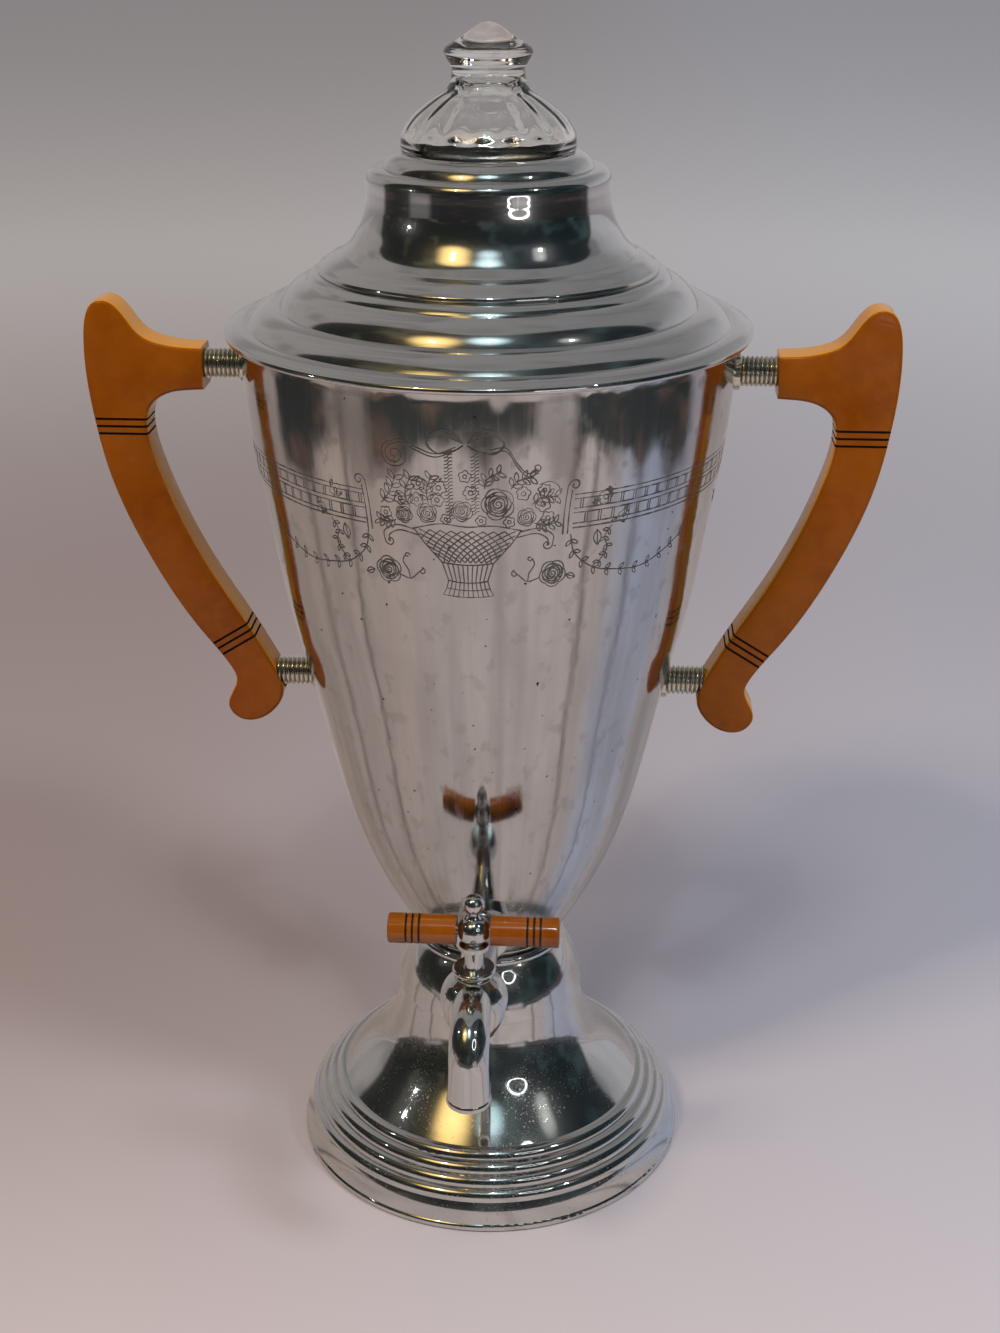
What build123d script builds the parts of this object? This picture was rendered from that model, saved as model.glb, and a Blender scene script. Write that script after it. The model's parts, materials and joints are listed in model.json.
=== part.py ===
from build123d import *
import math
import os

# Electric percolator coffee urn in pressed, chromed metal with cast resin handles.
# Millimetres, +Z up. The origin is the middle of the circle that the foot rests on.
# The tap points to -Y, the handles to +X and -X, and the appliance inlet to +Y.

# Sheet and fits
FOOT_SHEET = 0.9
BODY_SHEET = 1.0
COVER_SHEET = 0.8
TURN_GAP = 0.06      # radial running fit of the tap's plug and stem
LIFT_GAP = 0.6       # radial room between the lid's skirt and the neck
SEAT_GAP = 0.3       # between a loose piece and the seat under it
BOLT_GAP = 0.2       # radial room round a screw in a plain hole
CUT_OVER = 1.0       # how far a cutter runs past the face that it opens
BLANK_IN = 4.0       # how far a blank starts behind the wall that trims it

# Foot: rolled bead, plain band, ribs, dome and a small drum on top
FOOT_R = 69.2
FOOT_H = 79.0
FOOT_BEAD = 1.6
BEAD_EDGE_IN = 0.72  # where the band leaves the rolled bead
BEAD_EDGE_H = 2.94
FOOT_LIP_R = 62.0    # inner edge of the turned-in bottom lip
BAND_TOP_R = 66.2
BAND_TOP_Z = 10.4
BAND_BULGE = 0.35
RIB_COUNT = 4
RIB_RISE = 1.0
DOME_FOOT_R = 53.6
DOME_FOOT_Z = 24.2
RIB_BED_BULGE = 1.1
DRUM_Z = 60.0        # crease between the dome's waist and the drum
DRUM_R = 32.5
DRUM_LIP = 0.5
DRUM_BULGE = 1.2
DRUM_TOP_R = 26.0
DOME_POINTS = [(46.1, 32.0), (39.2, 40.0), (35.1, 48.0), (33.2, 54.0)]

# Collar between foot and body
COLLAR_H = 3.0
COLLAR_FOOT_R = 25.0
COLLAR_TOP_R = 24.6
COLLAR_BULGE = 1.4

# Body: outline points as shares of its top radius and of its height
BODY_BASE_Z = FOOT_H + COLLAR_H
BODY_H = 217.9
BODY_FLAT_R = 22.6
BODY_KNUCKLE_R = 24.9
BODY_KNUCKLE_H = 2.3
KNUCKLE_BULGE = 0.6
BODY_SHARES = [(0.4251, 0.0734), (0.5583, 0.1744), (0.6722, 0.3121), (0.7682, 0.4635),
               (0.8502, 0.5874), (0.9155, 0.7251), (0.9667, 0.8398), (0.9962, 0.9454)]
BODY_TOP_R = 78.1
RIM_TURN_H = 2.4     # the wall turns out to the rim this far below its top
RIM_BEND_OUT = 0.6
RIM_BEND_DROP = 1.0
RIM_EDGE_OUT = 2.3
RIM_EDGE_DROP = 0.7
RIM_Z = BODY_BASE_Z + BODY_H

# Shoulder cover: three pressed steps from the neck down to the rolled rim
NECK_R = 49.2
NECK_DEPTH = 9.0
NECK_LIP_H = 1.4
NECK_LIP_BULGE = 0.5
RIM_BEAD_OUT = 3.5   # middle of the rolled rim, out from the top of the wall
RIM_BEAD = 1.15
RIM_BEAD_SET = 0.2
STEP_EDGES = [(50.6, 16.5), (56.9, 14.4), (65.6, 7.0), (75.7, 1.7)]
STEP_FOOT_H = 0.1
STEP_BULGES = [1.3, 1.2, 1.4, 0.6]

# Lid: heights above the seat on the first step
LID_SEAT_Z = RIM_Z + 17.2
LID_R = 53.0
LID_BEAD = 1.1
LID_EDGE_IN = 0.99   # where the flange leaves the rolled edge
LID_EDGE_H = 2.09
FLANGE_BULGE = 0.5
FLARE_BREAK_OUT = 0.3
FLARE_BREAK_DROP = 0.5
FLARE_EDGE = (45.4, 6.4)
FLARE_POINTS = [(41.5, 10.9), (39.2, 14.9), (37.7, 20.4), (37.6, 25.4)]
SHOULDER_MID = (37.0, 29.2)
LID_TOP_R = 33.4
LID_TOP_H = 31.3
LID_HOLE_R = 27.8
SKIRT_H = 8.0
SKIRT_SHEET = 0.8
SKIRT_LAP = 2.0      # how far the skirt's two rings overlap

# Glass percolator top and its bayonet collar
COLLAR_RING_R = 32.4
COLLAR_RING_H = 4.1
COLLAR_RING_TOP_R = 27.9
COLLAR_RING_BULGE = 0.7
GLASS_NECK_R = 24.6
GLASS_NECK_GAP = 0.5
GLASS_NECK_H = 9.2
GLASS_WALL = 2.4
GLASS_R = 26.8
GLASS_EDGE_IN = 0.4
GLASS_EDGE_H = 1.2
GLASS_EDGE_BULGE = 0.2
GLASS_POINTS = [(26.2, 5.9), (23.4, 10.0), (17.0, 15.3), (12.3, 18.6), (11.0, 22.3), (12.1, 26.2)]
GLASS_KNOB_MID = (13.4, 28.7)
GLASS_CONE = [(12.0, 30.6), (3.4, 36.0)]
GLASS_H = 37.4
CAVITY_POINTS = [(24.1, 3.0), (21.4, 8.4), (15.0, 13.7), (9.3, 17.6), (6.4, 20.6)]
CAVITY_START = 1.0
CAVITY_TOP = 22.4
LUG_REACH = 2.3
LUG_ROOT = 1.0
LUG_H = 2.4
LUG_ANGLE = 36.0
LUG_ROOM = 4.0       # extra degrees each side of a lug in its slot

# Handles: outline as distance out from the neck's end and height above the upper fixing
UPPER_FIX_DROP = 14.2
UPPER_FERRULE = 13.34
FIX_DROP = 106.5
LOWER_SEAT_IN = 18.6
HANDLE_T = 12.4
HANDLE_ROUND = 1.4
NECK_TOP = 6.2
NECK_UNDER = 7.5
HANDLE_OUTLINE = [
    (7.0, 6.5), (13.5, 7.6), (18.3, 9.5), (21.6, 12.7), (25.4, 18.0), (29.3, 20.8), (33.8, 20.2),
    (36.5, 16.0), (37.7, 9.0), (37.9, 0.0), (36.2, -17.7), (32.6, -36.0), (23.0, -61.2), (5.0, -91.9),
    (-3.2, -103.2), (-5.0, -107.9), (-3.2, -113.0), (-1.8, -118.0), (-5.2, -122.6), (-11.6, -123.0),
    (-17.5, -119.2), (-21.0, -112.5), (-20.4, -107.0), (-17.8, -101.6), (-13.0, -92.7), (-1.0, -72.7),
    (9.0, -52.9), (16.2, -33.7), (18.9, -20.6), (17.4, -13.2), (12.5, -9.3), (6.0, -7.9),
]
HANDLE_SPANS = 8     # the smooth outline is cut into this many curves
LINE_W = 0.6
LINE_DEPTH = 0.45
LINE_SPOTS = [(27.3, -17.4, 0.0), (27.2, -19.8, 0.0), (27.1, -22.2, 0.0),
              (-2.8, -91.9, 32.0), (-4.3, -93.7, 32.0), (-5.7, -95.8, 32.0)]

# Handle fixings
FERRULE_R = 4.9
FERRULE_GROOVE = 0.8
FERRULE_RINGS = 8
FERRULE_BASE_R = 6.0
FERRULE_BASE_W = 1.6
SCREW_R = 2.0
SCREW_IN_HANDLE = 14.0
SCREW_HEAD_R = 3.9
SCREW_HEAD_H = 2.6
WASHER_R = 5.0
WASHER_T = 2.6

# Tap
TAP_OUT = 40.8       # axis of the plug, out from the body's wall
TAP_RISE = 19.7
BARREL_POINTS = [(8.9, -10.7), (10.5, -4.2), (10.8, -0.9), (9.9, 2.6), (8.4, 4.8)]
BARREL_BASE_R = 5.4
BARREL_BASE_EDGE = (6.9, -15.4)
BARREL_BASE_BULGE = 0.4
BARREL_DEPTH = 17.0
BARREL_TOP_R = 6.2
BARREL_TOP = 6.4
PLUG_TOP_R = 5.2
PLUG_TAPER = 0.7
PLUG_FLOOR = 13.8
PLUG_TOP = 4.4
PORT_R = 3.4
STEM_R = 2.6
PACKING_H = 1.7
BONNET_R = 6.0
BONNET_H = 1.2
BONNET_NECK_R = 5.0
BONNET_BULGE = 0.25
DISC_R = 6.9
DISC_H = 1.7
DISC_GAP = 0.4
DISC_ROUND = 0.5
KEY_RISE = 23.0      # axis of the cross bar, above the tap's axis
HUB_R = 5.15
HUB_NECK_R = 3.45
HUB_NECK_TOP_R = 3.25
HUB_NECK_HOLLOW = 0.4
HUB_COLLAR_R = 4.7
HUB_COLLAR_H = 1.4
HUB_COLLAR_DROP = 1.2
HUB_BALL_DROP = 4.0
HUB_TOP = 4.3
FINIAL_RISE = 10.3
FINIAL_R = 3.15
FINIAL_NECK_R = 1.5
FINIAL_FOOT_IN = 0.4
FINIAL_HOLLOW = 0.3
KEY_BAR_R = 4.77
KEY_SPAN = 54.0
KEY_BAR_START = 5.4
KEY_BAR_ROUND = 0.7
KEY_ROD_R = 1.6
KEY_ROD_HALF = 22.0
KEY_LINES = [17.0, 19.1, 21.1]
KEY_LINE_W = 0.5
KEY_LINE_DEPTH = 0.35
SPOUT_R = 6.35
SPOUT_BORE_R = 4.4
SPOUT_BEND_R = 12.0
SPOUT_RUN = 12.0
NOZZLE_R = 6.75
NOZZLE_LIP_R = 7.15
NOZZLE_LIP_H = 2.2
NOZZLE_DROP = 28.7
NOZZLE_FLARE_H = 13.0
SHANK_R = 6.0
THREAD_R = 5.6
SADDLE_R = 9.5
SADDLE_OUT = 8.3
SADDLE_ROUND = 1.5
GASKET_R = 8.4
GASKET_IN = 7.7
LOCK_NUT_FLAT = 16.0
LOCK_NUT_T = 4.0
THREAD_PAST = 1.5

# Heater well and what hangs under it
WELL_R = 17.5
WELL_SHEET = 1.0
WELL_FLANGE_R = 21.5
WELL_FLANGE_T = 1.0
WELL_DEPTH = 20.8
WELL_FLOOR_T = 1.2
WELL_GAP = 0.3
RING_NUT_R = 21.5
RING_NUT_H = 4.5
RING_NUT_NOTCH = 4.0
ELEMENT_R = 15.5
ELEMENT_T = 3.5
PLATE_R = 14.5
PLATE_T = 2.0
STUD_R = 2.5
STUD_END_Z = 3.6
NUT_FLAT = 9.0
NUT_T = 4.0
BASE_RISE = 8.1
BASE_CROWN_R = 44.0
BASE_RIM_R = 54.0
BASE_PLATE_GAP = 2.4

# Appliance inlet: two standard pins in a metal tunnel
INLET_Z = 34.0
INLET_W = 29.0
INLET_H = 14.0
INLET_SHEET = 1.0
INLET_IN_Y = 33.0
INLET_OUT_Y = 62.0
BLOCK_IN_Y = 35.0
BLOCK_OUT_Y = 43.0
PIN_R = 2.38
PIN_SHANK_R = 1.9    # the pin is thinner where it runs through the block
PIN_ROUND = 0.8
PIN_SPACING = 17.46
PIN_TIP_Y = 60.0
PIN_TAIL_Y = 27.0
PIN_NUT_T = 3.5
PIN_NUT_FLAT = 8.0
WIRE_R = 1.1
WIRE_BEND_Y = 19.0
WIRE_BEND_R = 3.5

# Percolator works
PUMP_FOOT_R = 15.7
PUMP_FOOT_H = 13.0
PUMP_SHEET = 1.0
VALVE_FLOOR_H = 5.0
VALVE_HOLE_R = 4.0
VALVE_R = 7.0
VALVE_T = 0.6
VALVE_TRAVEL = 1.6
VALVE_CAGE_R = 8.0
GATE_W = 5.0
GATE_H = 2.0
TUBE_R = 4.0
TUBE_BORE_R = 3.0
TUBE_ABOVE_BASKET = 24.0
STOP_R = 7.0
STOP_H = 3.0
BASKET_DROP = 1.1    # the basket's rim under the lid's skirt
BASKET_R = 43.5
BASKET_H = 46.0
BASKET_SHEET = 0.8
BASKET_RIM_R = 45.0
BASKET_CORNER = 3.0
SLEEVE_R = 5.6
SLEEVE_GAP = 0.4
SLEEVE_H = 14.0
HOLE_R = 1.5
HOLE_RING_RADII = [17.0, 31.0]
HOLE_RING_COUNTS = [8, 12]
SPREADER_R = 45.6
SPREADER_CROWN_R = 7.6
SPREADER_RISE = 3.0
SPREADER_RIM = 2.0


def edge(points):
    """A line through 2 (r, z) points, an arc through 3, a spline through more."""
    spots = [Vector(r, 0, z) for r, z in points]
    if len(spots) == 2:
        return Edge.make_line(*spots)
    if len(spots) == 3:
        return Edge.make_three_point_arc(*spots)
    return Edge.make_spline(spots)


def bulged(start, end, rise):
    """An arc from start to end whose middle stands rise to the left of the way it runs."""
    dr = end[0] - start[0]
    dz = end[1] - start[1]
    span = math.hypot(dr, dz)
    middle = ((start[0] + end[0] - 2 * rise * dz / span) / 2,
              (start[1] + end[1] + 2 * rise * dr / span) / 2)
    return [start, middle, end]


def lifted(points, height):
    """The same (r, z) points, raised by height."""
    return [(r, z + height) for r, z in points]


def beside(edges, gap):
    """The chain of edges moved to its left by gap, with mitred corners."""
    counts = [{GeomType.LINE: 1, GeomType.CIRCLE: 2}.get(e.geom_type, 9) for e in edges]
    sides = []
    for e, count in zip(edges, counts):
        tangents = [e.tangent_at(i / count) for i in range(count + 1)]
        sides.append([(-t.Z, t.X) for t in tangents])
    moved = []
    for k, (e, count) in enumerate(zip(edges, counts)):
        points = []
        for i in range(count + 1):
            here = sides[k][i]
            there = here
            if i == 0 and k > 0:
                there = sides[k - 1][-1]
            if i == count and k < len(edges) - 1:
                there = sides[k + 1][0]
            scale = gap / (1 + here[0] * there[0] + here[1] * there[1])
            spot = e.position_at(i / count)
            points.append((spot.X + scale * (here[0] + there[0]), spot.Z + scale * (here[1] + there[1])))
        moved.append(points)
    return moved


def chords(segments):
    """The same chain with each curve drawn as straight lines between its points."""
    return [[a, b] for points in segments for a, b in zip(points[:-1], points[1:])]


def spun(segments):
    """A solid of revolution about Z from a chain of (r, z) segments, closed by a line."""
    edges = [edge(points) for points in segments]
    first, last = segments[0][0], segments[-1][-1]
    if math.dist(first, last) > 1e-6:
        edges.append(edge([last, first]))
    return Solid.revolve(Face(Wire(edges)), 360, Axis.Z)


def sheet_back(segments, sheet):
    """The back of a sheet whose face is the chain, a sheet thickness to the chain's left."""
    return chords(beside([edge(points) for points in segments], sheet))


def pressed(segments, sheet):
    """A sheet-metal shell of revolution; the sheet lies to the left of the chain."""
    back = [points[::-1] for points in sheet_back(segments, sheet)[::-1]]
    return spun(segments + [[segments[-1][-1], back[0][0]]] + back)


def to_axis(segments):
    """The chain's whole inside, filled out to the axis."""
    first, last = segments[0][0], segments[-1][-1]
    ends = [[last, (0, last[1])], [(0, last[1]), (0, first[1])]]
    return spun(segments + [line for line in ends if math.dist(*line) > 1e-6])


def tube(outer, inner, low, high):
    """A plain ring about Z."""
    return spun([[(inner, low), (outer, low)], [(outer, low), (outer, high)],
                 [(outer, high), (inner, high)]])


def rod(radius, low, high):
    """A plain cylinder about Z."""
    return Pos(0, 0, low) * Cylinder(radius, high - low, align=(Align.CENTER, Align.CENTER, Align.MIN))


def hex_nut(flat, thickness, bore):
    """A hexagon nut about Z, standing on Z = 0."""
    shape = RegularPolygon(flat / 2, 6, major_radius=False) - Circle(bore)
    return extrude(shape, thickness)


def along_x(shape, x, z):
    """Turn a piece made about +Z to lie about +X, with its foot at x."""
    return Pos(x, 0, z) * Rot(0, 90, 0) * shape


def along_y(shape, y, z):
    """Turn a piece made about +Z to point to +Y, with its foot at y."""
    return Pos(0, y, z) * Rot(-90, 0, 0) * shape


def both_sides(piece):
    """The piece and its mirror image across the YZ plane."""
    return [piece, mirror(piece, about=Plane.YZ)]


# Foot
def rib_chain():
    """Rib arcs on a slightly crowned bed, from the band's top up to the dome."""
    bed = edge(bulged((BAND_TOP_R, BAND_TOP_Z), (DOME_FOOT_R, DOME_FOOT_Z), -RIB_BED_BULGE))
    spots = [bed.position_at(i / RIB_COUNT) for i in range(RIB_COUNT + 1)]
    return [bulged((a.X, a.Z), (b.X, b.Z), -RIB_RISE) for a, b in zip(spots[:-1], spots[1:])]


bead_out = (FOOT_R - BEAD_EDGE_IN, BEAD_EDGE_H)
foot_chain = [
    [(FOOT_LIP_R, 0), (FOOT_R - FOOT_BEAD, 0)],
    [(FOOT_R - FOOT_BEAD, 0), (FOOT_R, FOOT_BEAD), bead_out],
    bulged(bead_out, (BAND_TOP_R, BAND_TOP_Z), -BAND_BULGE),
    *rib_chain(),
    [(DOME_FOOT_R, DOME_FOOT_Z), *DOME_POINTS, (DRUM_R, DRUM_Z)],
    [(DRUM_R, DRUM_Z), (DRUM_R + DRUM_LIP, DRUM_Z + DRUM_LIP)],
    bulged((DRUM_R + DRUM_LIP, DRUM_Z + DRUM_LIP), (DRUM_TOP_R, FOOT_H - DRUM_LIP), -DRUM_BULGE),
    [(DRUM_TOP_R, FOOT_H - DRUM_LIP), (DRUM_TOP_R - DRUM_LIP, FOOT_H)],
    [(DRUM_TOP_R - DRUM_LIP, FOOT_H), (WELL_R + WELL_GAP, FOOT_H)],
]
inlet_outline = SlotOverall(INLET_W, INLET_H)
inlet_hole = along_y(extrude(inlet_outline, INLET_OUT_Y), 0, INLET_Z)
pedestal = pressed(foot_chain, FOOT_SHEET) - inlet_hole

# Collar ring, with its edge crowned
collar_edge = bulged((COLLAR_FOOT_R, FOOT_H), (COLLAR_TOP_R, BODY_BASE_Z), -COLLAR_BULGE)
junction_collar = spun([
    [(WELL_R + WELL_GAP, FOOT_H), collar_edge[0]],
    collar_edge,
    [collar_edge[-1], (WELL_R + WELL_GAP, BODY_BASE_Z)],
])

# Body
body_points = [(BODY_TOP_R * across, BODY_H * up) for across, up in BODY_SHARES]
rim_bend = (BODY_TOP_R + RIM_BEND_OUT, BODY_H - RIM_BEND_DROP)
body_chain = [
    [(WELL_R + WELL_GAP, 0), (BODY_FLAT_R, 0)],
    bulged((BODY_FLAT_R, 0), (BODY_KNUCKLE_R, BODY_KNUCKLE_H), -KNUCKLE_BULGE),
    [(BODY_KNUCKLE_R, BODY_KNUCKLE_H), *body_points, (BODY_TOP_R, BODY_H - RIM_TURN_H)],
    [(BODY_TOP_R, BODY_H - RIM_TURN_H), rim_bend],
    [rim_bend, (BODY_TOP_R + RIM_EDGE_OUT, BODY_H - RIM_EDGE_DROP)],
]
body_chain = [lifted(points, BODY_BASE_Z) for points in body_chain]
wall_edge = edge(body_chain[2])


def wall_radius(height):
    """Outer radius of the body's wall at a height above the floor that the urn stands on."""
    low, high = 0.0, 1.0
    for _ in range(30):
        middle = (low + high) / 2
        if wall_edge.position_at(middle).Z < height:
            low = middle
        else:
            high = middle
    return wall_edge.position_at(low).X


# Shoulder cover
rim_bead_r = BODY_TOP_R + RIM_BEAD_OUT
step_spots = lifted([*STEP_EDGES, (rim_bead_r, STEP_FOOT_H)], RIM_Z)
neck_top = (NECK_R, step_spots[0][1] - NECK_LIP_H)
cover_chain = [
    [(NECK_R, neck_top[1] - NECK_DEPTH), neck_top],
    bulged(neck_top, step_spots[0], NECK_LIP_BULGE),
    *[bulged(a, b, rise) for a, b, rise in zip(step_spots[:-1], step_spots[1:], STEP_BULGES)],
]
rim_bead = Pos(0, 0, RIM_Z - RIM_BEAD + RIM_BEAD_SET) * Torus(rim_bead_r, RIM_BEAD)
shoulder_cover = pressed(cover_chain, -COVER_SHEET) + rim_bead

body_filled = to_axis(body_chain)
body_cavity = to_axis(sheet_back(body_chain, BODY_SHEET))
body_plain = pressed(body_chain, BODY_SHEET) - shoulder_cover

# Lid
flange_out = (LID_R - LID_EDGE_IN, LID_SEAT_Z + LID_EDGE_H)
flare = lifted([FLARE_EDGE], LID_SEAT_Z)[0]
flare_break = (flare[0] + FLARE_BREAK_OUT, flare[1] - FLARE_BREAK_DROP)
lid_top_z = LID_SEAT_Z + LID_TOP_H
lid_chain = [
    bulged(flange_out, flare_break, -FLANGE_BULGE),
    [flare_break, flare],
    [flare, *lifted(FLARE_POINTS, LID_SEAT_Z)],
    lifted([FLARE_POINTS[-1], SHOULDER_MID, (LID_TOP_R, LID_TOP_H)], LID_SEAT_Z),
    [(LID_TOP_R, lid_top_z), (LID_HOLE_R, lid_top_z)],
]
lid_bead = Pos(0, 0, LID_SEAT_Z + LID_BEAD) * Torus(LID_R - LID_BEAD, LID_BEAD)
lid_shell = pressed(lid_chain, COVER_SHEET) + lid_bead
skirt_r = NECK_R - LIFT_GAP
lid_cavity = to_axis(sheet_back(lid_chain, COVER_SHEET))
skirt_low = LID_SEAT_Z - SKIRT_H
lid_skirt = tube(skirt_r, skirt_r - SKIRT_SHEET, skirt_low, flange_out[1])
lid_skirt += tube(skirt_r, skirt_r - SKIRT_SHEET, flange_out[1] - SKIRT_LAP, flare[1]) & lid_cavity

# Bayonet collar with two slots for the glass lugs
ring_top = lid_top_z + COLLAR_RING_H
ring_bore = GLASS_NECK_R + GLASS_NECK_GAP
glass_collar = spun([
    [(ring_bore, lid_top_z), (COLLAR_RING_R, lid_top_z)],
    bulged((COLLAR_RING_R, lid_top_z), (COLLAR_RING_TOP_R, ring_top), -COLLAR_RING_BULGE),
    [(COLLAR_RING_TOP_R, ring_top), (ring_bore, ring_top)],
])


def sector(outer, inner, low, high, middle, spread):
    """A curved block about Z between two radii, spread degrees wide round the angle middle."""
    block = Solid.revolve(
        Face(Wire([edge([(inner, low), (outer, low)]), edge([(outer, low), (outer, high)]),
                   edge([(outer, high), (inner, high)]), edge([(inner, high), (inner, low)])])),
        spread, Axis.Z)
    return Rot(0, 0, middle - spread / 2) * block


slot_r = GLASS_NECK_R + LUG_REACH + GLASS_NECK_GAP
slot_spread = LUG_ANGLE + 2 * LUG_ROOM
for middle in (90, 270):
    glass_collar -= sector(slot_r, GLASS_NECK_R, lid_top_z - CUT_OVER, ring_top + CUT_OVER,
                           middle, slot_spread)

# Glass top
glass_seat = ring_top + SEAT_GAP / 2
neck_low = glass_seat - GLASS_NECK_H
glass_outer = [
    [(GLASS_NECK_R, neck_low), (GLASS_NECK_R, glass_seat)],
    [(GLASS_NECK_R, glass_seat), (GLASS_R - GLASS_EDGE_IN, glass_seat)],
    bulged((GLASS_R - GLASS_EDGE_IN, glass_seat), (GLASS_R, glass_seat + GLASS_EDGE_H), -GLASS_EDGE_BULGE),
    [(GLASS_R, glass_seat + GLASS_EDGE_H), *lifted(GLASS_POINTS, glass_seat)],
    lifted([GLASS_POINTS[-1], GLASS_KNOB_MID, GLASS_CONE[0]], glass_seat),
    lifted(GLASS_CONE, glass_seat),
    lifted([GLASS_CONE[-1], (0, GLASS_H)], glass_seat),
]
cavity_neck_r = GLASS_NECK_R - GLASS_WALL
glass_inner = [
    [(cavity_neck_r, neck_low - CUT_OVER), (cavity_neck_r, glass_seat - CAVITY_START)],
    [(cavity_neck_r, glass_seat - CAVITY_START), *lifted(CAVITY_POINTS, glass_seat)],
    lifted([CAVITY_POINTS[-1], (0, CAVITY_TOP)], glass_seat),
]
glass_top = to_axis(glass_outer) - to_axis(glass_inner)
lug_top = lid_top_z - SEAT_GAP
for middle in (0, 180):
    glass_top += sector(GLASS_NECK_R + LUG_REACH, GLASS_NECK_R - LUG_ROOT, lug_top - LUG_H, lug_top,
                        middle, LUG_ANGLE)

# Handles, flat slabs of cast resin with rounded edges
handle_under = (0, -NECK_UNDER)
handle_top = (0, NECK_TOP)
upper_fix_z = RIM_Z - UPPER_FIX_DROP
lower_fix_z = upper_fix_z - FIX_DROP
neck_x = wall_radius(upper_fix_z) + UPPER_FERRULE
lower_seat_x = neck_x - LOWER_SEAT_IN
handle_points = [(neck_x + x, upper_fix_z + z) for x, z in [handle_top, *HANDLE_OUTLINE, handle_under]]
handle_curve = edge(handle_points)
handle_curves = [handle_curve.trim(i / HANDLE_SPANS, (i + 1) / HANDLE_SPANS) for i in range(HANDLE_SPANS)]
handle_face = Face(Wire([edge([handle_points[-1], handle_points[0]]), *handle_curves]))
handle_blank = Pos(0, HANDLE_T / 2, 0) * extrude(handle_face, HANDLE_T, dir=(0, -1, 0))
handle_rims = handle_blank.edges().filter_by(GeomType.LINE, reverse=True)
handle_blank = fillet(handle_rims, HANDLE_ROUND)

fixings = [(neck_x, upper_fix_z), (lower_seat_x, lower_fix_z)]
spot_face = along_x(rod(FERRULE_BASE_R, 0, lower_seat_x), 0, lower_fix_z)
handle_right = handle_blank - spot_face
for seat_x, height in fixings:
    handle_right -= along_x(rod(SCREW_R, -CUT_OVER, SCREW_IN_HANDLE), seat_x, height)


def cut_line(x, z, slant):
    """The waste of a narrow groove right round the handle, through a spot on its middle line."""
    there = Pos(neck_x + x, 0, upper_fix_z + z) * Rot(0, slant, 0)
    band = Box(4 * HANDLE_T, 2 * HANDLE_T, LINE_W)
    across = (band & there.inverse() * handle_blank).bounding_box()
    core = Box(across.size.X - 2 * LINE_DEPTH, HANDLE_T - 2 * LINE_DEPTH, LINE_W)
    return there * (band - Pos(across.center().X, 0, 0) * core)


for spot in LINE_SPOTS:
    handle_right -= cut_line(*spot)
handle_left = mirror(handle_right, about=Plane.YZ)


def ferrule(seat_x, height):
    """A stack of rounded rings from a saddle on the body's wall out to the handle."""
    wall = wall_radius(height)
    ring_start = wall + FERRULE_BASE_W
    pitch = (seat_x - ring_start) / FERRULE_RINGS
    length = seat_x - wall + BLANK_IN
    first_ring = BLANK_IN + FERRULE_BASE_W
    chain = [[(SCREW_R + BOLT_GAP, 0), (FERRULE_BASE_R, 0)],
             [(FERRULE_BASE_R, 0), (FERRULE_BASE_R, first_ring)],
             [(FERRULE_BASE_R, first_ring), (FERRULE_R - FERRULE_GROOVE, first_ring)]]
    for i in range(FERRULE_RINGS):
        low = first_ring + i * pitch
        chain.append([(FERRULE_R - FERRULE_GROOVE, low), (FERRULE_R, low + pitch / 2)])
        chain.append([(FERRULE_R, low + pitch / 2), (FERRULE_R - FERRULE_GROOVE, low + pitch)])
    chain.append([(FERRULE_R - FERRULE_GROOVE, length), (SCREW_R + BOLT_GAP, length)])
    return along_x(spun(chain), wall - BLANK_IN, height) - body_filled


def handle_screw(seat_x, height):
    """A pan-head screw from inside the body, through wall and ferrule, into the handle."""
    head_x = wall_radius(height) - BODY_SHEET - WASHER_T
    length = seat_x + SCREW_IN_HANDLE - head_x
    screw = rod(SCREW_R, 0, length) + rod(SCREW_HEAD_R, -SCREW_HEAD_H, 0)
    return along_x(screw, head_x, height)


def handle_washer(seat_x, height):
    """A washer whose outer face follows the body's wall."""
    start = wall_radius(height) - BODY_SHEET - WASHER_T
    blank = tube(WASHER_R, SCREW_R + BOLT_GAP, 0, WASHER_T + BLANK_IN)
    return along_x(blank, start, height) & body_cavity


handle_ferrules = [piece for spot in fixings for piece in both_sides(ferrule(*spot))]
handle_screws = [piece for spot in fixings for piece in both_sides(handle_screw(*spot))]
handle_washers = [piece for spot in fixings for piece in both_sides(handle_washer(*spot))]

body_shell = body_plain
for seat_x, height in fixings:
    for piece in both_sides(along_x(rod(SCREW_R + BOLT_GAP, 0, seat_x), 0, height)):
        body_shell -= piece
tap_z = BODY_BASE_Z + TAP_RISE
wall_y = wall_radius(tap_z)
tap_reach = wall_y + TAP_OUT
body_shell -= along_y(rod(THREAD_R + BOLT_GAP, 0, tap_reach), -tap_reach, tap_z)

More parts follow.
